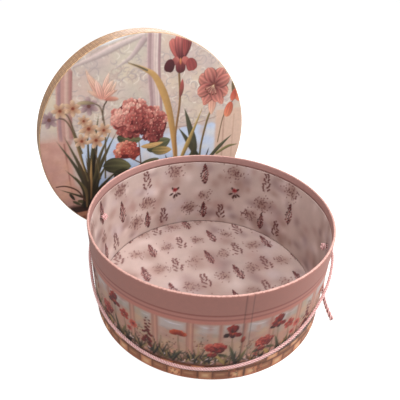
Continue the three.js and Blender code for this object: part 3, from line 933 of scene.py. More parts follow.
def paper_material(name, ink=None, mottle=0.12, mottle_scale=60.0, rub_and_highlight=None, bare_and_highlight=(226, 196, 184),
                   grain=0.12):
    """A covering paper. ink is a plain colour, or None for a sheet that carries its own ink; the rub
    argument is a function that puts the mask of its worn edges, which along the wrap's rim is also a
    painted highlight."""
    material, shader, put = new_material(name)
    place = put("ShaderNodeTexCoord").outputs["Object"]
    values = {"Place": place, "Mottle": mottle, "Mottle Scale": mottle_scale, "Bare Paper And Highlight": shade(*bare_and_highlight)}
    if ink is None:
        values["Ink"] = put("ShaderNodeVertexColor", layer_name="ink").outputs["Color"]
    else:
        values["Ink"] = shade(*ink)
    if rub_and_highlight is not None:
        values["Rub"] = rub_and_highlight(put, place)
    paper = put("ShaderNodeGroup", node_tree=paper_group)
    for label, value in values.items():
        if isinstance(value, bpy.types.NodeSocket):
            material.node_tree.links.new(value, paper.inputs[label])
        else:
            paper.inputs[label].default_value = value
    bump = put("ShaderNodeBump", {"Height": paper.outputs["Height"], "Strength": grain, "Distance": 0.0005})
    feed(shader, Base_Color=paper.outputs["Colour"], Roughness=paper.outputs["Roughness"],
         Normal=bump.outputs["Normal"])
    return material


def rim_and_foot(put, place):
    """Where a box is handled and set down: 1 along its rim and its foot. The pale rim is a painted
    highlight too.
    """
    height = put("ShaderNodeSeparateXYZ", {"Vector": place}).outputs["Z"]
    rim = put("ShaderNodeMapRange", {"Value": height, "From Min": BOX_HEIGHT - RIM_HIGHLIGHT_AND_WEAR,
                                     "From Max": BOX_HEIGHT})
    foot = put("ShaderNodeMapRange", {"Value": height, "From Min": WORN_FOOT, "From Max": 0.0})
    return worked(put, "MAXIMUM", rim.outputs["Result"], foot.outputs["Result"])


wrap_inside = BOX_RADIUS - PAPER
wrap_section = (
    rows((BOX_RADIUS - BASE_TURN_IN, WRAP_LOW), (BOX_RADIUS - FOOT_ROUND, WRAP_LOW), 0.004)
    + corner((BOX_RADIUS - FOOT_ROUND, WRAP_LOW + FOOT_ROUND), FOOT_ROUND, -90, 0, 3)[:-1]
    + rows((BOX_RADIUS, WRAP_LOW + FOOT_ROUND), (BOX_RADIUS, HOLE_BAND[0]), WRAP_CELL)
    + rows((BOX_RADIUS, HOLE_BAND[0]), (BOX_RADIUS, HOLE_BAND[1]), WRAP_CELL)
    + rows((BOX_RADIUS, HOLE_BAND[1]), (BOX_RADIUS, PLAIN_FROM), WRAP_CELL)
    + rows((BOX_RADIUS, PLAIN_FROM), (BOX_RADIUS, BOX_HEIGHT - RIM_ROUND), PLAIN_CELL)
    + corner((BOX_RADIUS - RIM_ROUND, BOX_HEIGHT - RIM_ROUND), RIM_ROUND, 0, 90, 4)[:-1]
    + corner((LINING_RADIUS + RIM_ROUND, BOX_HEIGHT - RIM_ROUND), RIM_ROUND, 90, 180, 4)[:-1]
    + rows((LINING_RADIUS, BOX_HEIGHT - RIM_ROUND), (LINING_RADIUS, TURN_IN_LOW), 0.005)
    + [(LINING_RADIUS, TURN_IN_LOW), (LINING_RADIUS + PAPER, TURN_IN_LOW)]
    + [(LINING_RADIUS + PAPER, BOX_HEIGHT - RIM_ROUND), (LINING_RADIUS + RIM_ROUND, BOX_HEIGHT - PAPER)]
    + [(BOX_RADIUS - RIM_ROUND, BOX_HEIGHT - PAPER), (wrap_inside, BOX_HEIGHT - RIM_ROUND)]
    + rows((wrap_inside, HOLE_BAND[1]), (wrap_inside, HOLE_BAND[0]), WRAP_CELL)
    + [(wrap_inside, HOLE_BAND[0]), (wrap_inside, WRAP_LOW + FOOT_ROUND)]
    + [(BOX_RADIUS - FOOT_ROUND, WRAP_LOW + PAPER), (BOX_RADIUS - BASE_TURN_IN, WRAP_LOW + PAPER)]
)


def seam_swell(angle, section):
    """The overlapped end of the sheet, one paper thicker on the outside."""
    away = abs(turn_from(angle, SEAM_MIDDLE)) * BOX_RADIUS
    strip = np.clip((SEAM_WIDTH / 2 - away) / SEAM_FADE + 0.5, 0, 1)
    outside = (section[:, :1] > BOX_RADIUS - 1e-5) & (section[:, 1:] < BOX_HEIGHT - 0.001)
    return SEAM_STEP * strip * outside


wrap_paper, wrap_angle, _ = turned_paper("printed_wrap_paper", wrap_section, WRAP_COLUMNS, SEAM_ANGLE,
                                         CORD_HOLES, seam_swell)
sides = np.array(wrap_section)
repeat_columns = WRAP_COLUMNS // REPEATS
repeat_width = 2 * math.pi * BOX_RADIUS * 1000 / REPEATS
across = np.tile(np.arange(repeat_columns) * repeat_width / repeat_columns, len(sides))
wrap_print = Print(across, np.repeat(sides[:, 1] * 1000, repeat_columns), WRAP_CELL * 1000, PINK,
                   repeat_width, seed=11)
print_frieze(wrap_print)
wrap_ink = np.tile(wrap_print.ink.reshape(len(sides), repeat_columns, 3), (1, REPEATS, 1))
wrap_ink[(sides[:, 0] < BOX_RADIUS - 0.001) & (sides[:, 1] > 0.1)] = PINK
from_seam = turn_from(wrap_angle, SEAM_MIDDLE) * BOX_RADIUS
seam_line = np.clip(1.3 - abs(abs(from_seam) - SEAM_WIDTH / 2) / SEAM_FADE, 0, 1)[..., None]
wrap_ink = wrap_ink * (1 - 0.2 * seam_line)
inked(wrap_paper, wrap_ink)
# the wrap's rim and foot fade to pale paper: rubbed wear, and along the rim a painted highlight
wrap_paper.data.materials.append(paper_material("printed_wrap", mottle=0.24, mottle_scale=150.0,
                                                rub_and_highlight=rim_and_foot, bare_and_highlight=RIM_PALE))
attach(wrap_paper, "box")
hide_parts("wrap_paper")


# Wall lining: mauve-grey paper pasted inside the wall from the floor up to the turned-in rim, printed with
# two staggered rows of garden sprigs. Its own seam is at the back.
LINING_LOW = 0.0041
PAPER_GAP = 0.0003           # left between the edges of two papers
LINING_COLUMNS = 660
LINING_CELL = 0.0019
LINING_GROUND = (190, 169, 163)
LINING_SHADE = (152, 122, 114)
LINING_TONES = (LINING_SHADE, (216, 198, 194), (168, 136, 130), (194, 176, 178), (138, 112, 112))
SPRIG = (70, 32, 36)
SPRIG_LIT = (150, 96, 92)
LINING_SEAM = math.radians(55)
LINING_CONTRAST = 0.25
GOLDEN = 0.618               # steps of this share of a width spread marks evenly over it


def dense_sprig(sheet, x, y, high=48):
    """A dark flower spike made of small separate petals."""
    sheet.stroke([(x, y), (x, y + 0.4 * high)], (1.0, 1.0, 0.6), (84, 60, 56), (96, 60, 56))
    for k in range(58):
        share = (k + 0.5) / 58
        half = 0.17 * high * math.sin(math.pi * share ** 0.7) + 0.6
        across = 2 * (GOLDEN * k % 1) - 1 + sheet.random.uniform(-0.2, 0.2)
        sheet.dab(x + across * half, y + high * share, sheet.random.uniform(2.4, 3.7),
                  (SPRIG, SPRIG, (112, 62, 64), SPRIG_LIT)[k % 4])


def open_sprig(sheet, x, y, high=46):
    """A loose branch of small leaves, each on its own side shoot."""
    sheet.stroke([(x, y), (x - 3, y + high / 2), (x + 2, y + high)], (1, 0.9, 0.5), (128, 100, 92),
                 (128, 100, 92), 0.1, 0.7)
    for k in range(24):
        share = (k + 0.5) / 24
        reach = 9 * (GOLDEN * k % 1) * (1.15 - share)
        sheet.petal(x - 3 * math.sin(math.pi * share) + (-1) ** k * reach, y + high * (0.08 + 0.9 * share),
                    90 - (-1) ** k * sheet.random.uniform(10, 80), 5.4, 3.4, (96, 58, 58), (124, 80, 78),
                    fat=0.6)


def dot_cluster(sheet, x, y, wide, high, count=64):
    """A cloud of tiny buds."""
    sheet.washes(x - wide / 4, x + wide / 4, y - high / 4, y + high / 4, 5, 0.6 * wide, (LINING_SHADE,),
                 0.35)
    for k in range(count):
        px, py = sheet.random.normal(0, 0.25, 2)
        sheet.dab(x + wide * px, y + high * py, sheet.random.uniform(2.2, 3.2),
                  ((126, 90, 88), (104, 66, 66))[k % 2], 0.8)


def red_posy(sheet, x, y):
    """A small red rose with dark leaves."""
    for heading, length in ((60, 12), (130, 12), (-30, 12), (215, 13), (-80, 14), (250, 12)):
        sheet.petal(x + 0.4 * length * math.cos(math.radians(heading)),
                    y + 0.4 * length * math.sin(math.radians(heading)), heading, 0.8 * length, 4.4,
                    (72, 46, 46), (98, 66, 62), vein=0.05)
    sheet.star(x, y + 5, 12, (136, 46, 54), (170, 80, 80), 6, (96, 30, 38))
    sheet.stroke([(x, y - 22), (x - 1, y)], (0.9, 0.9, 0.8), (96, 68, 62), (96, 68, 62))


lining_section = (
    rows((LINING_RADIUS + PAPER, LINING_LOW), (LINING_RADIUS + PAPER, HOLE_BAND[0]), 0.06)
    + rows((LINING_RADIUS + PAPER, HOLE_BAND[0]), (LINING_RADIUS + PAPER, HOLE_BAND[1]), LINING_CELL)
    + [(LINING_RADIUS + PAPER, HOLE_BAND[1]), (LINING_RADIUS + PAPER, TURN_IN_LOW - PAPER_GAP)]
    + rows((LINING_RADIUS, TURN_IN_LOW - PAPER_GAP), (LINING_RADIUS, HOLE_BAND[1]), LINING_CELL)
    + rows((LINING_RADIUS, HOLE_BAND[1]), (LINING_RADIUS, HOLE_BAND[0]), LINING_CELL)
    + rows((LINING_RADIUS, HOLE_BAND[0]), (LINING_RADIUS, LINING_LOW), LINING_CELL)
    + [(LINING_RADIUS, LINING_LOW)]
)
wall_lining, lining_angle, lining_height = turned_paper("wall_lining_paper", lining_section, LINING_COLUMNS,
                                                        LINING_SEAM, CORD_HOLES)
lining_x = (lining_angle - LINING_SEAM) % (2 * math.pi) * LINING_RADIUS * 1000
lining_print = Print(lining_x.ravel(), lining_height.ravel() * 1000, LINING_CELL * 1000, LINING_GROUND,
                     2 * math.pi * LINING_RADIUS * 1000, seed=5)


def at_direction(degrees):
    """The lining's x at a direction from the box's axis."""
    return math.radians(degrees - math.degrees(LINING_SEAM)) * LINING_RADIUS * 1000


lining_print.washes(0, lining_print.repeat, 0, 156, 420, 26, LINING_TONES, 0.5)
SPRIG_STEP = 19.3             # degrees from one motif of the upper row to the next
for start, lower in ((67.6, ("red", "dark")), (144.3, ("dark", "red")), (221.5, ("dark", "red")),
                     (298.7, ("dark", "red"))):
    dense_sprig(lining_print, at_direction(start), 104)
    dot_cluster(lining_print, at_direction(start), 74, 26, 30, 30)
    dot_cluster(lining_print, at_direction(start - SPRIG_STEP), 137, 40, 34)
    open_sprig(lining_print, at_direction(start - 2 * SPRIG_STEP), 107)
    dot_cluster(lining_print, at_direction(start - 2 * SPRIG_STEP), 78, 38, 34)
    dot_cluster(lining_print, at_direction(start - 3 * SPRIG_STEP), 137, 40, 34)
    for step, kind in zip((1, 3), lower):
        place = at_direction(start - step * SPRIG_STEP)
        if kind == "dark":
            dense_sprig(lining_print, place, 64)
        else:
            red_posy(lining_print, place, 88)
    for step in (0, 1, 2, 3):
        place = at_direction(start - step * SPRIG_STEP)
        if step % 2 == 0:
            dense_sprig(lining_print, place, 16, 40)
            dot_cluster(lining_print, place + 32, 42, 34, 30)
        else:
            open_sprig(lining_print, place + 30, 12, 40)
middle = lining_print.ink.mean(axis=0)
lining_print.ink += LINING_CONTRAST * (lining_print.ink - middle)
inked(wall_lining, lining_print.ink)
lining_paper = paper_material("lining_paper", mottle=0.42, mottle_scale=26.0)
wall_lining.data.materials.append(lining_paper)
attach(wall_lining, "box")
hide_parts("wall_lining")


# Floor lining: a disc of the same mauve-grey sprigged paper, pasted on the base board inside the box. Its
# edge meets the foot of the wall lining.
FLOOR_TOP = 0.0045
DISC_CELLS = 190
DISC_DOT = 2.1               # the finest mark that the net of cells shows, in millimetres


def paper_disc(name, radius, top, cells):
    """A closed disc of paper with its printed face up at this height: a square net of cells drawn out to a
    circle, which keeps their areas even, and a plain back."""
    line = np.linspace(-1, 1, cells + 1)
    a, b = np.meshgrid(line, line)
    wide = abs(a) > abs(b)
    safe_a, safe_b = np.where(a == 0, 1, a), np.where(b == 0, 1, b)
    reach = np.where(wide, a, b)
    turn = np.where(wide, math.pi / 4 * b / safe_a, math.pi / 2 - math.pi / 4 * a / safe_b)
    flat = np.stack([reach * np.cos(turn), reach * np.sin(turn)], axis=-1).reshape(-1, 2) * radius
    number = np.arange((cells + 1) ** 2).reshape(cells + 1, cells + 1)
    faces = np.stack([number[:-1, :-1], number[:-1, 1:], number[1:, 1:], number[1:, :-1]],
                     axis=-1).reshape(-1, 4)
    edge = np.concatenate([number[0, :-1], number[:-1, -1], number[-1, :0:-1], number[:0:-1, 0]])
    count, front = len(edge), len(flat)
    points = np.concatenate([
        np.column_stack([flat, np.full(front, top)]),
        np.column_stack([flat[edge], np.full(count, top - PAPER)]),
        [(0, 0, top - PAPER)],
    ])
    under = front + np.arange(count)
    following = np.roll(np.arange(count), -1)
    rim = np.stack([under, under[following], edge[following], edge], axis=-1)
    back = np.stack([under[following], under, np.full(count, front + count)], axis=-1)
    return new_piece(name, points, faces.tolist() + rim.tolist() + back.tolist()), flat * 1000


def ink_disc(piece, sheet_ink, ground):
    """Inks a disc's face, and its edge and back in the ground colour."""
    ink = np.tile(np.array(ground, float), (len(piece.data.vertices), 1))
    ink[:len(sheet_ink)] = sheet_ink
    inked(piece, ink)


def lining_disc(name, radius, top):
    """A disc of the lining paper, with staggered rows of sprigs and clouds of buds."""
    piece, flat = paper_disc(name, radius, top, DISC_CELLS)
    sheet = Print(flat[:, 0], flat[:, 1], DISC_DOT, LINING_GROUND, seed=8)
    sheet.washes(-200, 200, -200, 200, 160, 36, LINING_TONES, 0.5)
    for row in range(-3, 4):
        for column in range(-3, 4):
            x, y = 68 * column + (34 if row % 2 else 0), 62 * row - 20
            if math.hypot(x, y + 20) < 215:
                (dense_sprig if (row + column) % 2 else open_sprig)(sheet, x, y, 42)
                dot_cluster(sheet, x + 34, y + 20, 36, 32, 34)
    ink_disc(piece, sheet.ink, LINING_GROUND)
    piece.data.materials.append(lining_paper)
    return piece


floor_lining = lining_disc("floor_lining_paper", LINING_RADIUS - PAPER_GAP, FLOOR_TOP)
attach(floor_lining, "box")
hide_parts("floor_lining")


# Base cover: a disc of plain brown kraft paper, pasted under the box over the wrap's folded edge. The box
# stands on it.
BASE_COVER_RADIUS = 0.2
base_cover, _ = paper_disc("base_cover_paper", BASE_COVER_RADIUS, PAPER, 60)
for vertex in base_cover.data.vertices:
    vertex.co.y, vertex.co.z = -vertex.co.y, PAPER - vertex.co.z
base_cover.data.materials.append(paper_material("kraft_paper", ink=(170, 132, 96), mottle=0.25,
                                                mottle_scale=90.0, grain=0.35))
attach(base_cover, "box")
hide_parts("base_cover")


# Lid rim paper: a strip of woven-cane print in golds round the lid's rim, folded a little way onto the face
# and round the open edge up the inside. The lid is made face up and then stood on edge behind the box.
LID_RADIUS = 0.2075
LID_DEPTH = 0.043
LID_FOLD = 0.0012
LID_TURN_IN = 0.016
LID_EDGE_ROUND = 0.0009
LID_LINING_OUTER = 0.2045
LID_LINING_RADIUS = 0.2041
LID_FACE = (-0.0365, 0.2072, 0.20739)       # the middle of the standing lid's face
LID_COLUMNS = 760
LID_CELL = 0.0017


def stand_lid(piece):
    """Stands a lid piece that was made face up at height 0 on its edge, with its face to the box."""
    piece.data.transform(Matrix.Translation(LID_FACE) @ Matrix.Rotation(math.pi / 2, 4, "X"))
    piece.data.update()
    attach(piece, "lid")


def print_cane(sheet):
    """A basket-weave of gold cane, as the lid's rim is printed."""
    sheet.ink[:] = (150, 112, 88)
    cell_x, cell_y = 7.0, 4.4
    for row in range(10):
        for column in range(int(sheet.repeat / cell_x + 0.5)):
            over = (row + column) % 2 == 0
            x, y = (column + 0.5) * cell_x, -2 - row * cell_y
            glow = sheet.random.uniform(0.9, 1.12)
            base = np.array((198, 164, 124) if over else (166, 122, 92)) * glow
            half_x, half_y = (cell_x * 0.46, cell_y * 0.42) if over else (cell_x * 0.5, cell_y * 0.34)
            sheet.petal(x - half_x, y, 0, 2 * half_x, 2 * half_y, base, base * 1.06, fat=0.5, blunt=0.8,
                        light=0.2)


lid_section = (
    rows((LID_RADIUS - PAPER, -LID_DEPTH + PAPER), (LID_LINING_OUTER, -LID_DEPTH + PAPER), 0.01)
    + [(LID_LINING_OUTER, -LID_DEPTH + PAPER), (LID_LINING_OUTER, -LID_DEPTH + LID_TURN_IN)]
    + rows((LID_LINING_RADIUS, -LID_DEPTH + LID_TURN_IN), (LID_LINING_RADIUS, -LID_DEPTH + LID_EDGE_ROUND),
           0.004)
    + corner((LID_LINING_RADIUS + LID_EDGE_ROUND, -LID_DEPTH + LID_EDGE_ROUND), LID_EDGE_ROUND, 180, 270, 3)
    + corner((LID_RADIUS - LID_EDGE_ROUND, -LID_DEPTH + LID_EDGE_ROUND), LID_EDGE_ROUND, 270, 360, 3)[:-1]
    + rows((LID_RADIUS, -LID_DEPTH + LID_EDGE_ROUND), (LID_RADIUS, -LID_EDGE_ROUND), LID_CELL)
    + corner((LID_RADIUS - LID_EDGE_ROUND, -LID_EDGE_ROUND), LID_EDGE_ROUND, 0, 90, 3)
    + [(LID_RADIUS - LID_FOLD, 0), (LID_RADIUS - LID_FOLD, -PAPER), (LID_RADIUS - PAPER, -PAPER)]
)
lid_rim, lid_angle, lid_height = turned_paper("lid_rim_paper_print", lid_section, LID_COLUMNS, 0.0)
rim_print = Print((lid_angle * LID_RADIUS * 1000).ravel(), (lid_height * 1000).ravel(), LID_CELL * 1000,
                  (196, 154, 120), 2 * math.pi * LID_RADIUS * 1000, seed=3)
print_cane(rim_print)
rim_ink = rim_print.ink.reshape(len(lid_section), LID_COLUMNS, 3)
on_face = (np.array(lid_section)[:, 0] < LID_RADIUS - 0.0002) & (np.array(lid_section)[:, 1] > -0.0006)
rim_ink[on_face] = (214, 178, 140)
inked(lid_rim, rim_ink)
lid_rim.data.materials.append(paper_material("gold_rim_paper", mottle=0.16, bare_and_highlight=(232, 206, 178)))
stand_lid(lid_rim)
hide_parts("lid_rim_paper")


# Lid face paper: a disc printed as a painting of tall garden flowers before a lace-curtained window, pasted
# on the top board inside the rim paper's fold.
FACE_RADIUS = LID_RADIUS - LID_FOLD - PAPER_GAP
FACE_CELLS = 292
FACE_DOT = 1.5
LACE = (206, 186, 174)
SUN_FADED = (0.925, 0.955, 0.97)     # what the finished picture's inks are multiplied by


def print_curtains(sheet):
    """The window behind the flowers: lace, drapes, a sill, and the pots and soil at the foot."""
    x, y = sheet.x, sheet.y
    folds = 0.5 + 0.5 * np.sin(x / 11 + 0.9 * np.sin(y / 37))
    sheet.ink[:] = np.multiply(LACE, (0.955 + 0.06 * folds)[:, None])
    sheet.washes(-190, 190, 30, 205, 190, 34, ((206, 174, 162), (222, 198, 170), (204, 190, 172),
                                               (218, 188, 178), (194, 170, 166)), 0.55)
    for k in range(420):
        px, py = sheet.random.uniform(-165, 170), sheet.random.uniform(35, 200)
        size, turn = sheet.random.uniform(3, 13), sheet.random.uniform(0, 360)
        tone = ((178, 158, 152), (228, 212, 198), (194, 168, 156), (180, 162, 158))[k % 4]
        curl = [(px + size * (1.3 - t / 6) * math.cos(math.radians(turn + 46 * t)),
                 py + size * (1 - t / 7) * math.sin(math.radians(turn + 46 * t))) for t in range(3 + k % 4)]
        sheet.stroke(curl, (1.4, 2.4, 1.6), tone, tone, light=0.1, strength=0.8)
    # the swag of white drape at the top and its shadow
    sheet.stroke([(-130, 158), (-90, 172), (-45, 190), (-5, 204)], (5, 12, 8), (196, 172, 166),
                 (206, 184, 178), 0.25, 0.6)
    sheet.stroke([(-112, 184), (-70, 194), (-30, 205)], (3, 9, 5), (236, 228, 224), (228, 216, 214), 0.15,
                 0.9)
    sheet.stroke([(-60, 150), (-30, 168), (-5, 196)], (3, 8, 12), (198, 178, 170), (184, 158, 156), 0.2,
                 0.6)
    # the mauve drape beside it, then the pink one at the left, each a few folds as (offset, width, tone)
    for line, foot, folds in (
        ([(14, 210), (11, 150), (13, 90), (14, 30)], 0.9,
         ((0, 26, (192, 162, 158)), (-8, 6, (172, 140, 140)), (2, 5, (212, 186, 178)),
          (10, 5, (168, 134, 134)), (6, 3, (222, 198, 190)))),
        ([(-146, 150), (-152, 110), (-158, 60), (-160, 30)], 1.0,
         ((0, 26, (190, 142, 132)), (-8, 6, (166, 128, 128)), (4, 6, (206, 166, 152)),
          (12, 4, (170, 118, 112)))),
    ):
        for offset, wide, tone in folds:
            sheet.stroke([(px + offset, py) for px, py in line], (wide, wide, foot * wide), tone, tone,
                         0.1, 0.9)
    # the lace's scalloped hem, the bright gap below it, and the walls at each side
    sheet.patch(-150, 150, -130, 28, (206, 178, 166), soft=10)
    hem = 26 + 3 * np.sin(x / 5)
    inside = np.nonzero((y < hem) & (y > -140) & (abs(x - 10) < 145))[0]
    depth = np.clip(-y[inside] - 20, 0, 60)[:, None]
    glow = (198, 206, 226) - depth * (0.6, 0.5, 0.3)
    sheet.lay(inside, np.clip((hem[inside] - y[inside]) / 5, 0, 1), glow)
    sheet.washes(-135, 150, -90, 22, 90, 20, ((176, 192, 222), (224, 216, 212), (202, 178, 170),
                                              (216, 220, 230)), 0.6)
    sheet.stroke([(20, 30), (80, 27), (150, 40)], (2, 2.2, 2), (170, 140, 130), (170, 140, 130), 0.1, 0.8)
    right = np.nonzero(x > 140)[0]
    sheet.lay(right, (x[right] - 140) / 6 * (y[right] < 52), (214, 178, 158))
    sheet.patch(160, 164, -180, 46, (178, 138, 122), 0.6)
    sheet.patch(184, 187, -180, 40, (190, 150, 132), 0.6)
    left = np.nonzero(x < -150)[0]
    sheet.lay(left, (-150 - x[left]) / 8 * np.clip((30 - y[left]) / 8, 0, 1), (202, 150, 136))
    sheet.patch(-165, -162, -180, 24, (150, 96, 84), 0.8)
    sheet.patch(-210, -188, -180, 14, (190, 136, 122), 0.6, soft=10)
    sheet.washes(-205, -150, -120, 30, 40, 26, ((214, 164, 148), (186, 132, 122), (206, 150, 124)), 0.5)
    # the terracotta trough and its dark soil
    sheet.patch(-180, 180, -210, -112, (58, 34, 28), soft=9)
    sheet.patch(-180, 180, -210, -128, (150, 92, 70), soft=3)
    sheet.patch(-180, 180, -138, -128, (190, 126, 98), 0.8, soft=3)
    for k in range(-8, 9):
        sheet.patch(21 * k - 1, 21 * k + 1, -210, -140, (122, 70, 54), 0.5, soft=4)
    sheet.leaves(-160, 160, -122, -96, 90, ((44, 36, 28), (64, 58, 40), (90, 78, 52)), 26)


def print_garden(sheet):
    """The flowers, from those at the back to those in front."""
    stem, stem_lit = (92, 70, 46), (150, 120, 76)
    dark, olive, ochre = (30, 24, 18), (84, 74, 48), (188, 146, 92)
    # grass and leaves from the left-hand clump
    root_x, root_y = -128, -118
    for tip_x, tip_y, wide, low, high in (
        (-186, -68, 4, dark, olive), (-176, 31, 6, dark, (92, 84, 62)), (-162, 39, 6, dark, (104, 92, 66)),
        (-150, 66, 3, stem, stem_lit), (-118, 66, 4, dark, olive), (-96, 72, 7, dark, (88, 84, 58)),
        (-76, 40, 7, dark, (110, 96, 66)), (-66, 34, 5, dark, olive), (-140, 10, 5, ochre, stem_lit),
        (-104, 8, 5, (150, 112, 70), ochre), (-168, -30, 6, dark, olive), (-92, -6, 6, dark, olive),
        (-100, 30, 6, dark, dark), (-112, 24, 6, dark, olive), (-86, -24, 7, dark, olive),
        (-134, -20, 7, dark, dark), (-108, -30, 8, dark, olive), (-122, 16, 5, dark, olive),
        (-146, -2, 5, dark, stem), (-78, 12, 5, dark, olive), (-118, -10, 5, (120, 84, 56), ochre),
        (-60, -40, 6, dark, olive), (-128, -6, 4, dark, stem), (-154, -44, 5, (120, 90, 60), olive),
    ):
        middle = (root_x + 0.42 * (tip_x - root_x) * 0.8, root_y + 0.52 * (tip_y - root_y))
        sheet.stroke([(root_x + sheet.random.uniform(-16, 16), root_y), middle, (tip_x, tip_y)],
                     (0.7 * wide, wide * 1.25, 0.4), low, high, 0.3)
    sheet.stroke([(-190, -62), (-172, -64), (-152, -78), (-140, -104)], (2, 3, 3), (70, 40, 32),
                 (90, 54, 40))
    # pale stars and narcissi at the left
    for knots in ([(-182, 71), (-165, 72), (-152, 62), (-140, 20), (-130, -60)],
                  [(-112, 88), (-98, 90), (-90, 76), (-88, 30), (-96, -60)],
                  [(-160, 84), (-150, 74), (-144, 50), (-134, 0)], [(-112, 44), (-110, 10), (-106, -60)]):
        sheet.stroke(knots, (1.8, 2.4, 3), (84, 62, 50), (96, 80, 52))
    cream, cream_tip, cup = (160, 108, 84), (226, 190, 158), (180, 96, 62)
    for x, y, size, turn in ((-182, 71, 34, 10), (-112, 88, 36, 30), (-118, 46, 24, 50)):
        sheet.star(x, y, size, (124, 90, 96), (190, 160, 156), 6, (110, 66, 60), turn)
    for x, y, size, turn in ((-162, 85, 30, 0), (-140, 87, 32, 25), (-117, 46, 36, 10), (-132, 24, 30, 35),
                             (-106, 22, 34, 5), (-90, 40, 30, 40), (-124, 62, 24, 20)):
        sheet.star(x, y, size, cream, cream_tip, 6, cup, turn)
        sheet.dab(x, y, 0.16 * size, (120, 58, 44))
    # the pale lily buds above them
    sheet.stroke([(-78, 96), (-86, 84), (-90, 60)], (2.4, 2.4, 2.2), (70, 52, 44), (84, 70, 50))
    for x, y, heading, long, wide, bend, tip in (
        (-88, 100, 122, 56, 10, -0.16, (226, 186, 164)), (-84, 98, 36, 38, 8, 0.24, (228, 196, 172)),
        (-86, 98, 134, 32, 9, 0.2, (222, 186, 160)), (-86, 100, 108, 50, 11, 0.14, (228, 190, 166)),
        (-84, 100, 84, 46, 10, -0.2, (232, 200, 180)), (-86, 98, 62, 40, 11, -0.1, (232, 198, 176)),
        (-88, 98, 98, 36, 13, 0.05, (238, 198, 180)), (-84, 96, 50, 30, 8, -0.3, (220, 176, 154)),
    ):
        sheet.petal(x, y, heading, long, wide, (206, 138, 122), tip, bend=bend, fat=0.45, blunt=1.5,
                    vein=0.08, rim=0.24)
    sheet.petal(-82, 96, 12, 24, 9, (178, 104, 90), (214, 158, 136), bend=-0.2)
    sheet.petal(-100, 92, 165, 32, 7, (120, 100, 78), (190, 166, 132), bend=0.15)
    # the hydrangeas, their leaves and stalks
    for start, end in (((-24, 10), (-26, 34)), ((-24, 10), (-8, 16)), ((-24, 10), (-44, 20)),
                       ((-22, -40), (-24, 10)), ((-22, -40), (-50, -20)), ((-30, -110), (-22, -40))):
        sheet.stroke([start, end], (2.6, 2.2, 1.8), (92, 62, 54), (110, 76, 62))
    for x, y, heading, long, wide, base, tip, bend in (
        (-66, 22, -18, 48, 27, (58, 58, 42), (112, 108, 74), 0.08),
        (-60, 6, 20, 30, 18, (70, 64, 46), (120, 110, 76), 0),
        (-8, -14, 22, 52, 30, (62, 64, 46), (104, 104, 74), -0.06),
        (-20, -4, -8, 46, 11, ochre, (206, 164, 110), 0.2),
        (2, -16, -12, 42, 20, (96, 88, 54), (196, 156, 98), 0.1),
        (-98, -34, -4, 56, 34, (54, 50, 36), (116, 108, 74), -0.1),
        (-78, -52, -30, 62, 34, (48, 46, 34), (92, 86, 60), 0.08),
        (-36, -66, 30, 60, 30, (58, 54, 40), (110, 100, 70), 0),
        (10, -60, 12, 54, 28, (52, 50, 38), (98, 92, 64), 0.1),
        (-14, -78, -24, 58, 30, (60, 56, 40), (104, 98, 66), 0),
    ):
        sheet.petal(x, y, heading, long, wide, base, tip, bend=bend, fat=0.45, blunt=1.35, vein=0.1,
                    rim=0.25)
        sheet.stroke([(x, y), (x + 0.8 * long * math.cos(math.radians(heading)),
                               y + 0.8 * long * math.sin(math.radians(heading)) + bend * long * 0.4)],
                     (1.1, 0.9, 0.5), np.array(tip) * 1.12, np.array(tip) * 1.12, strength=0.6)
    sheet.hydrangea(-50, -10, 46, 34, 13, 34, (104, 36, 36), (180, 80, 68), (234, 160, 134))
    sheet.hydrangea(8, 38, 54, 66, 12.5, 62, (96, 32, 36), (176, 92, 84), (236, 176, 158))
    sheet.hydrangea(-33, 56, 76, 70, 12.5, 120, (92, 30, 34), (180, 92, 84), (240, 180, 162))
    # the long ochre blade and the iris
    sheet.stroke([(50, -60), (52, -25), (39, 66), (16, 126), (-8, 146), (-36, 158)], (7, 15, 1.2),
                 (168, 122, 70), (204, 162, 106), 0.3)
    sheet.stroke([(-2, 143), (-18, 151), (-37, 159)], (3.4, 2.4, 0.8), (92, 86, 72), (70, 66, 60))
    for line, widths, base, tip in (
        ([(70, -60), (95, -30), (82, 30), (72, 64)], (9, 15, 0.6), (60, 58, 44), (84, 82, 62)),
        ([(112, -60), (96, -34), (76, 0), (60, 24)], (9, 12, 0.6), (52, 50, 38), (78, 76, 56)),
        ([(60, -60), (72, -30), (90, 10), (111, 60)], (6, 10, 0.8), (150, 118, 66), (176, 148, 96)),
        ([(52, -34), (54, 20), (62, 80), (60, 138)], (3.4, 4.4, 4), (150, 106, 64), (124, 92, 62)),
    ):
        sheet.stroke(line, widths, base, tip, 0.3)
    sheet.petal(62, 86, 76, 36, 9, (112, 62, 54), (176, 84, 78), bend=0.1, fat=0.5, blunt=1.6)
    sheet.iris(63, 160, 43, (84, 32, 38), (146, 66, 64), (200, 112, 102))
    # the open lily at the right, its trumpet and its stem
    sheet.stroke([(108, -60), (111, -20), (122, 30), (132, 58)], (4, 4.6, 4), (96, 76, 48), (128, 104, 64),
                 0.3)
    sheet.petal(133, 84, -92, 40, 18, (206, 140, 122), (226, 176, 152), fat=0.4, blunt=1.2, vein=0.06)
    sheet.petal(128, 92, -118, 30, 16, (188, 112, 98), (200, 126, 110), vein=0.08)
    sheet.petal(141, 92, -62, 32, 16, (180, 98, 86), (206, 140, 122), vein=0.08)
    sheet.lily(134, 104, 37, 18, (124, 56, 56), (206, 132, 116), 8)
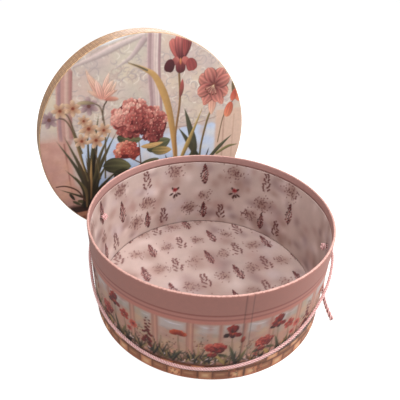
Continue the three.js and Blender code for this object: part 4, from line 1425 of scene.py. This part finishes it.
    # the buds at the right-hand edge
    sheet.stroke([(150, -20), (160, 36), (176, 62), (184, 80)], (2, 2.4, 2), (110, 88, 60), (96, 70, 52))
    sheet.petal(176, 112, -68, 42, 15, (92, 84, 58), (130, 88, 66), bend=-0.1)
    sheet.petal(180, 92, -50, 32, 18, (196, 92, 68), (216, 124, 92), blunt=0.9, vein=0.06)
    sheet.petal(182, 90, -100, 22, 13, (176, 74, 58), (204, 104, 80), blunt=0.9)
    sheet.petal(176, 66, -106, 32, 19, (190, 88, 66), (218, 132, 100), blunt=0.9, vein=0.06)
    # leaves at the lower right
    sheet.stroke([(136, -50), (156, -30), (183, -8)], (8, 9, 0.8), (64, 62, 44), (86, 82, 58), 0.3)
    sheet.stroke([(150, -46), (176, -34), (200, -32)], (6, 7, 0.8), (130, 118, 74), (110, 100, 68), 0.3)
    for x, tip_x, tip_y, tone in ((60, 30, -30, dark), (80, 96, -8, olive), (104, 130, -30, dark),
                                  (128, 150, -60, olive), (20, -6, -40, olive), (146, 176, -70, dark)):
        sheet.stroke([(x, -116), ((x + tip_x) / 2, (tip_y - 116) / 2), (tip_x, tip_y)], (5, 8, 0.6), dark,
                     tone, 0.3)
    for x, y, size in ((60, -92, 26), (118, -84, 30), (-10, -100, 26), (-70, -96, 24)):
        sheet.star(x, y, size, cream, cream_tip, 6, cup, x)


lid_face, flat = paper_disc("lid_face_picture", FACE_RADIUS, 0.0, FACE_CELLS)
face_print = Print(flat[:, 0], flat[:, 1], FACE_DOT, LACE, seed=21)
print_curtains(face_print)
print_garden(face_print)
face_print.ink *= SUN_FADED
ink_disc(lid_face, face_print.ink, LACE)
lid_face.data.materials.append(paper_material("printed_face", mottle=0.34, mottle_scale=140.0))
stand_lid(lid_face)
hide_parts("lid_face_paper")


# Lid linings: the mauve-grey paper again, a strip pasted inside the rim above the turned-in edge, then a
# disc of it over the top board.
LID_LINING_TOP = -0.003
lid_lining_section = [
    (LID_LINING_RADIUS, -LID_DEPTH + LID_TURN_IN + PAPER_GAP),
    (LID_LINING_OUTER, -LID_DEPTH + LID_TURN_IN + PAPER_GAP), (LID_LINING_OUTER, LID_LINING_TOP),
    (LID_LINING_RADIUS, LID_LINING_TOP),
]
lid_rim_lining, _, _ = turned_paper("lid_rim_lining_paper", lid_lining_section, 240, 0.0)
inked(lid_rim_lining, LINING_GROUND)
lid_rim_lining.data.materials.append(lining_paper)
stand_lid(lid_rim_lining)
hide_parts("lid_rim_lining")
lid_top_lining = lining_disc("lid_top_lining_paper", LID_LINING_RADIUS - PAPER_GAP, 0.0)
for vertex in lid_top_lining.data.vertices:
    vertex.co.x, vertex.co.z = -vertex.co.x, LID_LINING_TOP - PAPER - vertex.co.z
stand_lid(lid_top_lining)
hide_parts("lid_top_lining")


# Studio: a plain white floor that glows only to the eye, so that it lends the box no colour, and four big
# soft lamps round the box, the strongest from the right.
FLOOR_HALF = 6
FLOOR_DROP = 0.0003          # the floor lies just under the box, not in the plane of its base
FLOOR_TONE = 0.45
FLOOR_GLOW = 0.84
WORLD_LIGHT = 0.36
LAMP_AIM = (0, 0.05, 0.12)
floor_mesh = bpy.data.meshes.new("floor")
floor_corners = []
for x, y in ((-1, -1), (1, -1), (1, 1), (-1, 1)):
    floor_corners.append((x * FLOOR_HALF, y * FLOOR_HALF, -FLOOR_DROP))
floor_mesh.from_pydata(floor_corners, [], [(0, 1, 2, 3)])
floor = placed("floor", floor_mesh)
pale_floor, shader, put = new_material("pale_floor", Roughness=0.9, Specular_IOR_Level=0.1)
shader.inputs["Base Color"].default_value = (FLOOR_TONE, FLOOR_TONE, FLOOR_TONE, 1)
shader.inputs["Emission Color"].default_value = (1, 1, 1, 1)
seen = worked(put, "MULTIPLY", put("ShaderNodeLightPath").outputs["Is Camera Ray"], FLOOR_GLOW)
feed(shader, Emission_Strength=seen)
floor_mesh.materials.append(pale_floor)
for name, place, size, power, tint in (
    ("key", (1.35, -0.5, 1.1), 0.9, 27, (1.0, 0.965, 0.93)),
    ("left", (-1.6, -0.1, 0.8), 1.0, 4, (1.0, 0.97, 0.95)),
    ("overhead", (-0.1, -0.4, 1.35), 0.8, 14, (1.0, 0.98, 0.96)),
    ("behind", (0.5, 1.6, 0.9), 1.0, 9, (1.0, 0.97, 0.95)),
):
    light_data = bpy.data.lights.new(name, "AREA")
    light_data.shape = "DISK"
    light_data.size = size
    light_data.energy = power
    light_data.color = tint
    light = placed(name, light_data)
    aim = Vector(LAMP_AIM) - Vector(place)
    light.matrix_world = Matrix.Translation(place) @ aim.to_track_quat("-Z", "Y").to_matrix().to_4x4()
world = bpy.data.worlds.new("studio")
world.use_nodes = True
world.node_tree.nodes["Background"].inputs["Color"].default_value = (1.0, 0.99, 0.98, 1)
put = node_maker(world.node_tree)
bright = worked(put, "MULTIPLY_ADD", put("ShaderNodeLightPath").outputs["Is Camera Ray"], 1 - WORLD_LIGHT,
                WORLD_LIGHT)
feed(world.node_tree.nodes["Background"], Strength=bright)
bpy.context.scene.world = world
bpy.context.scene.view_settings.view_transform = "Standard"
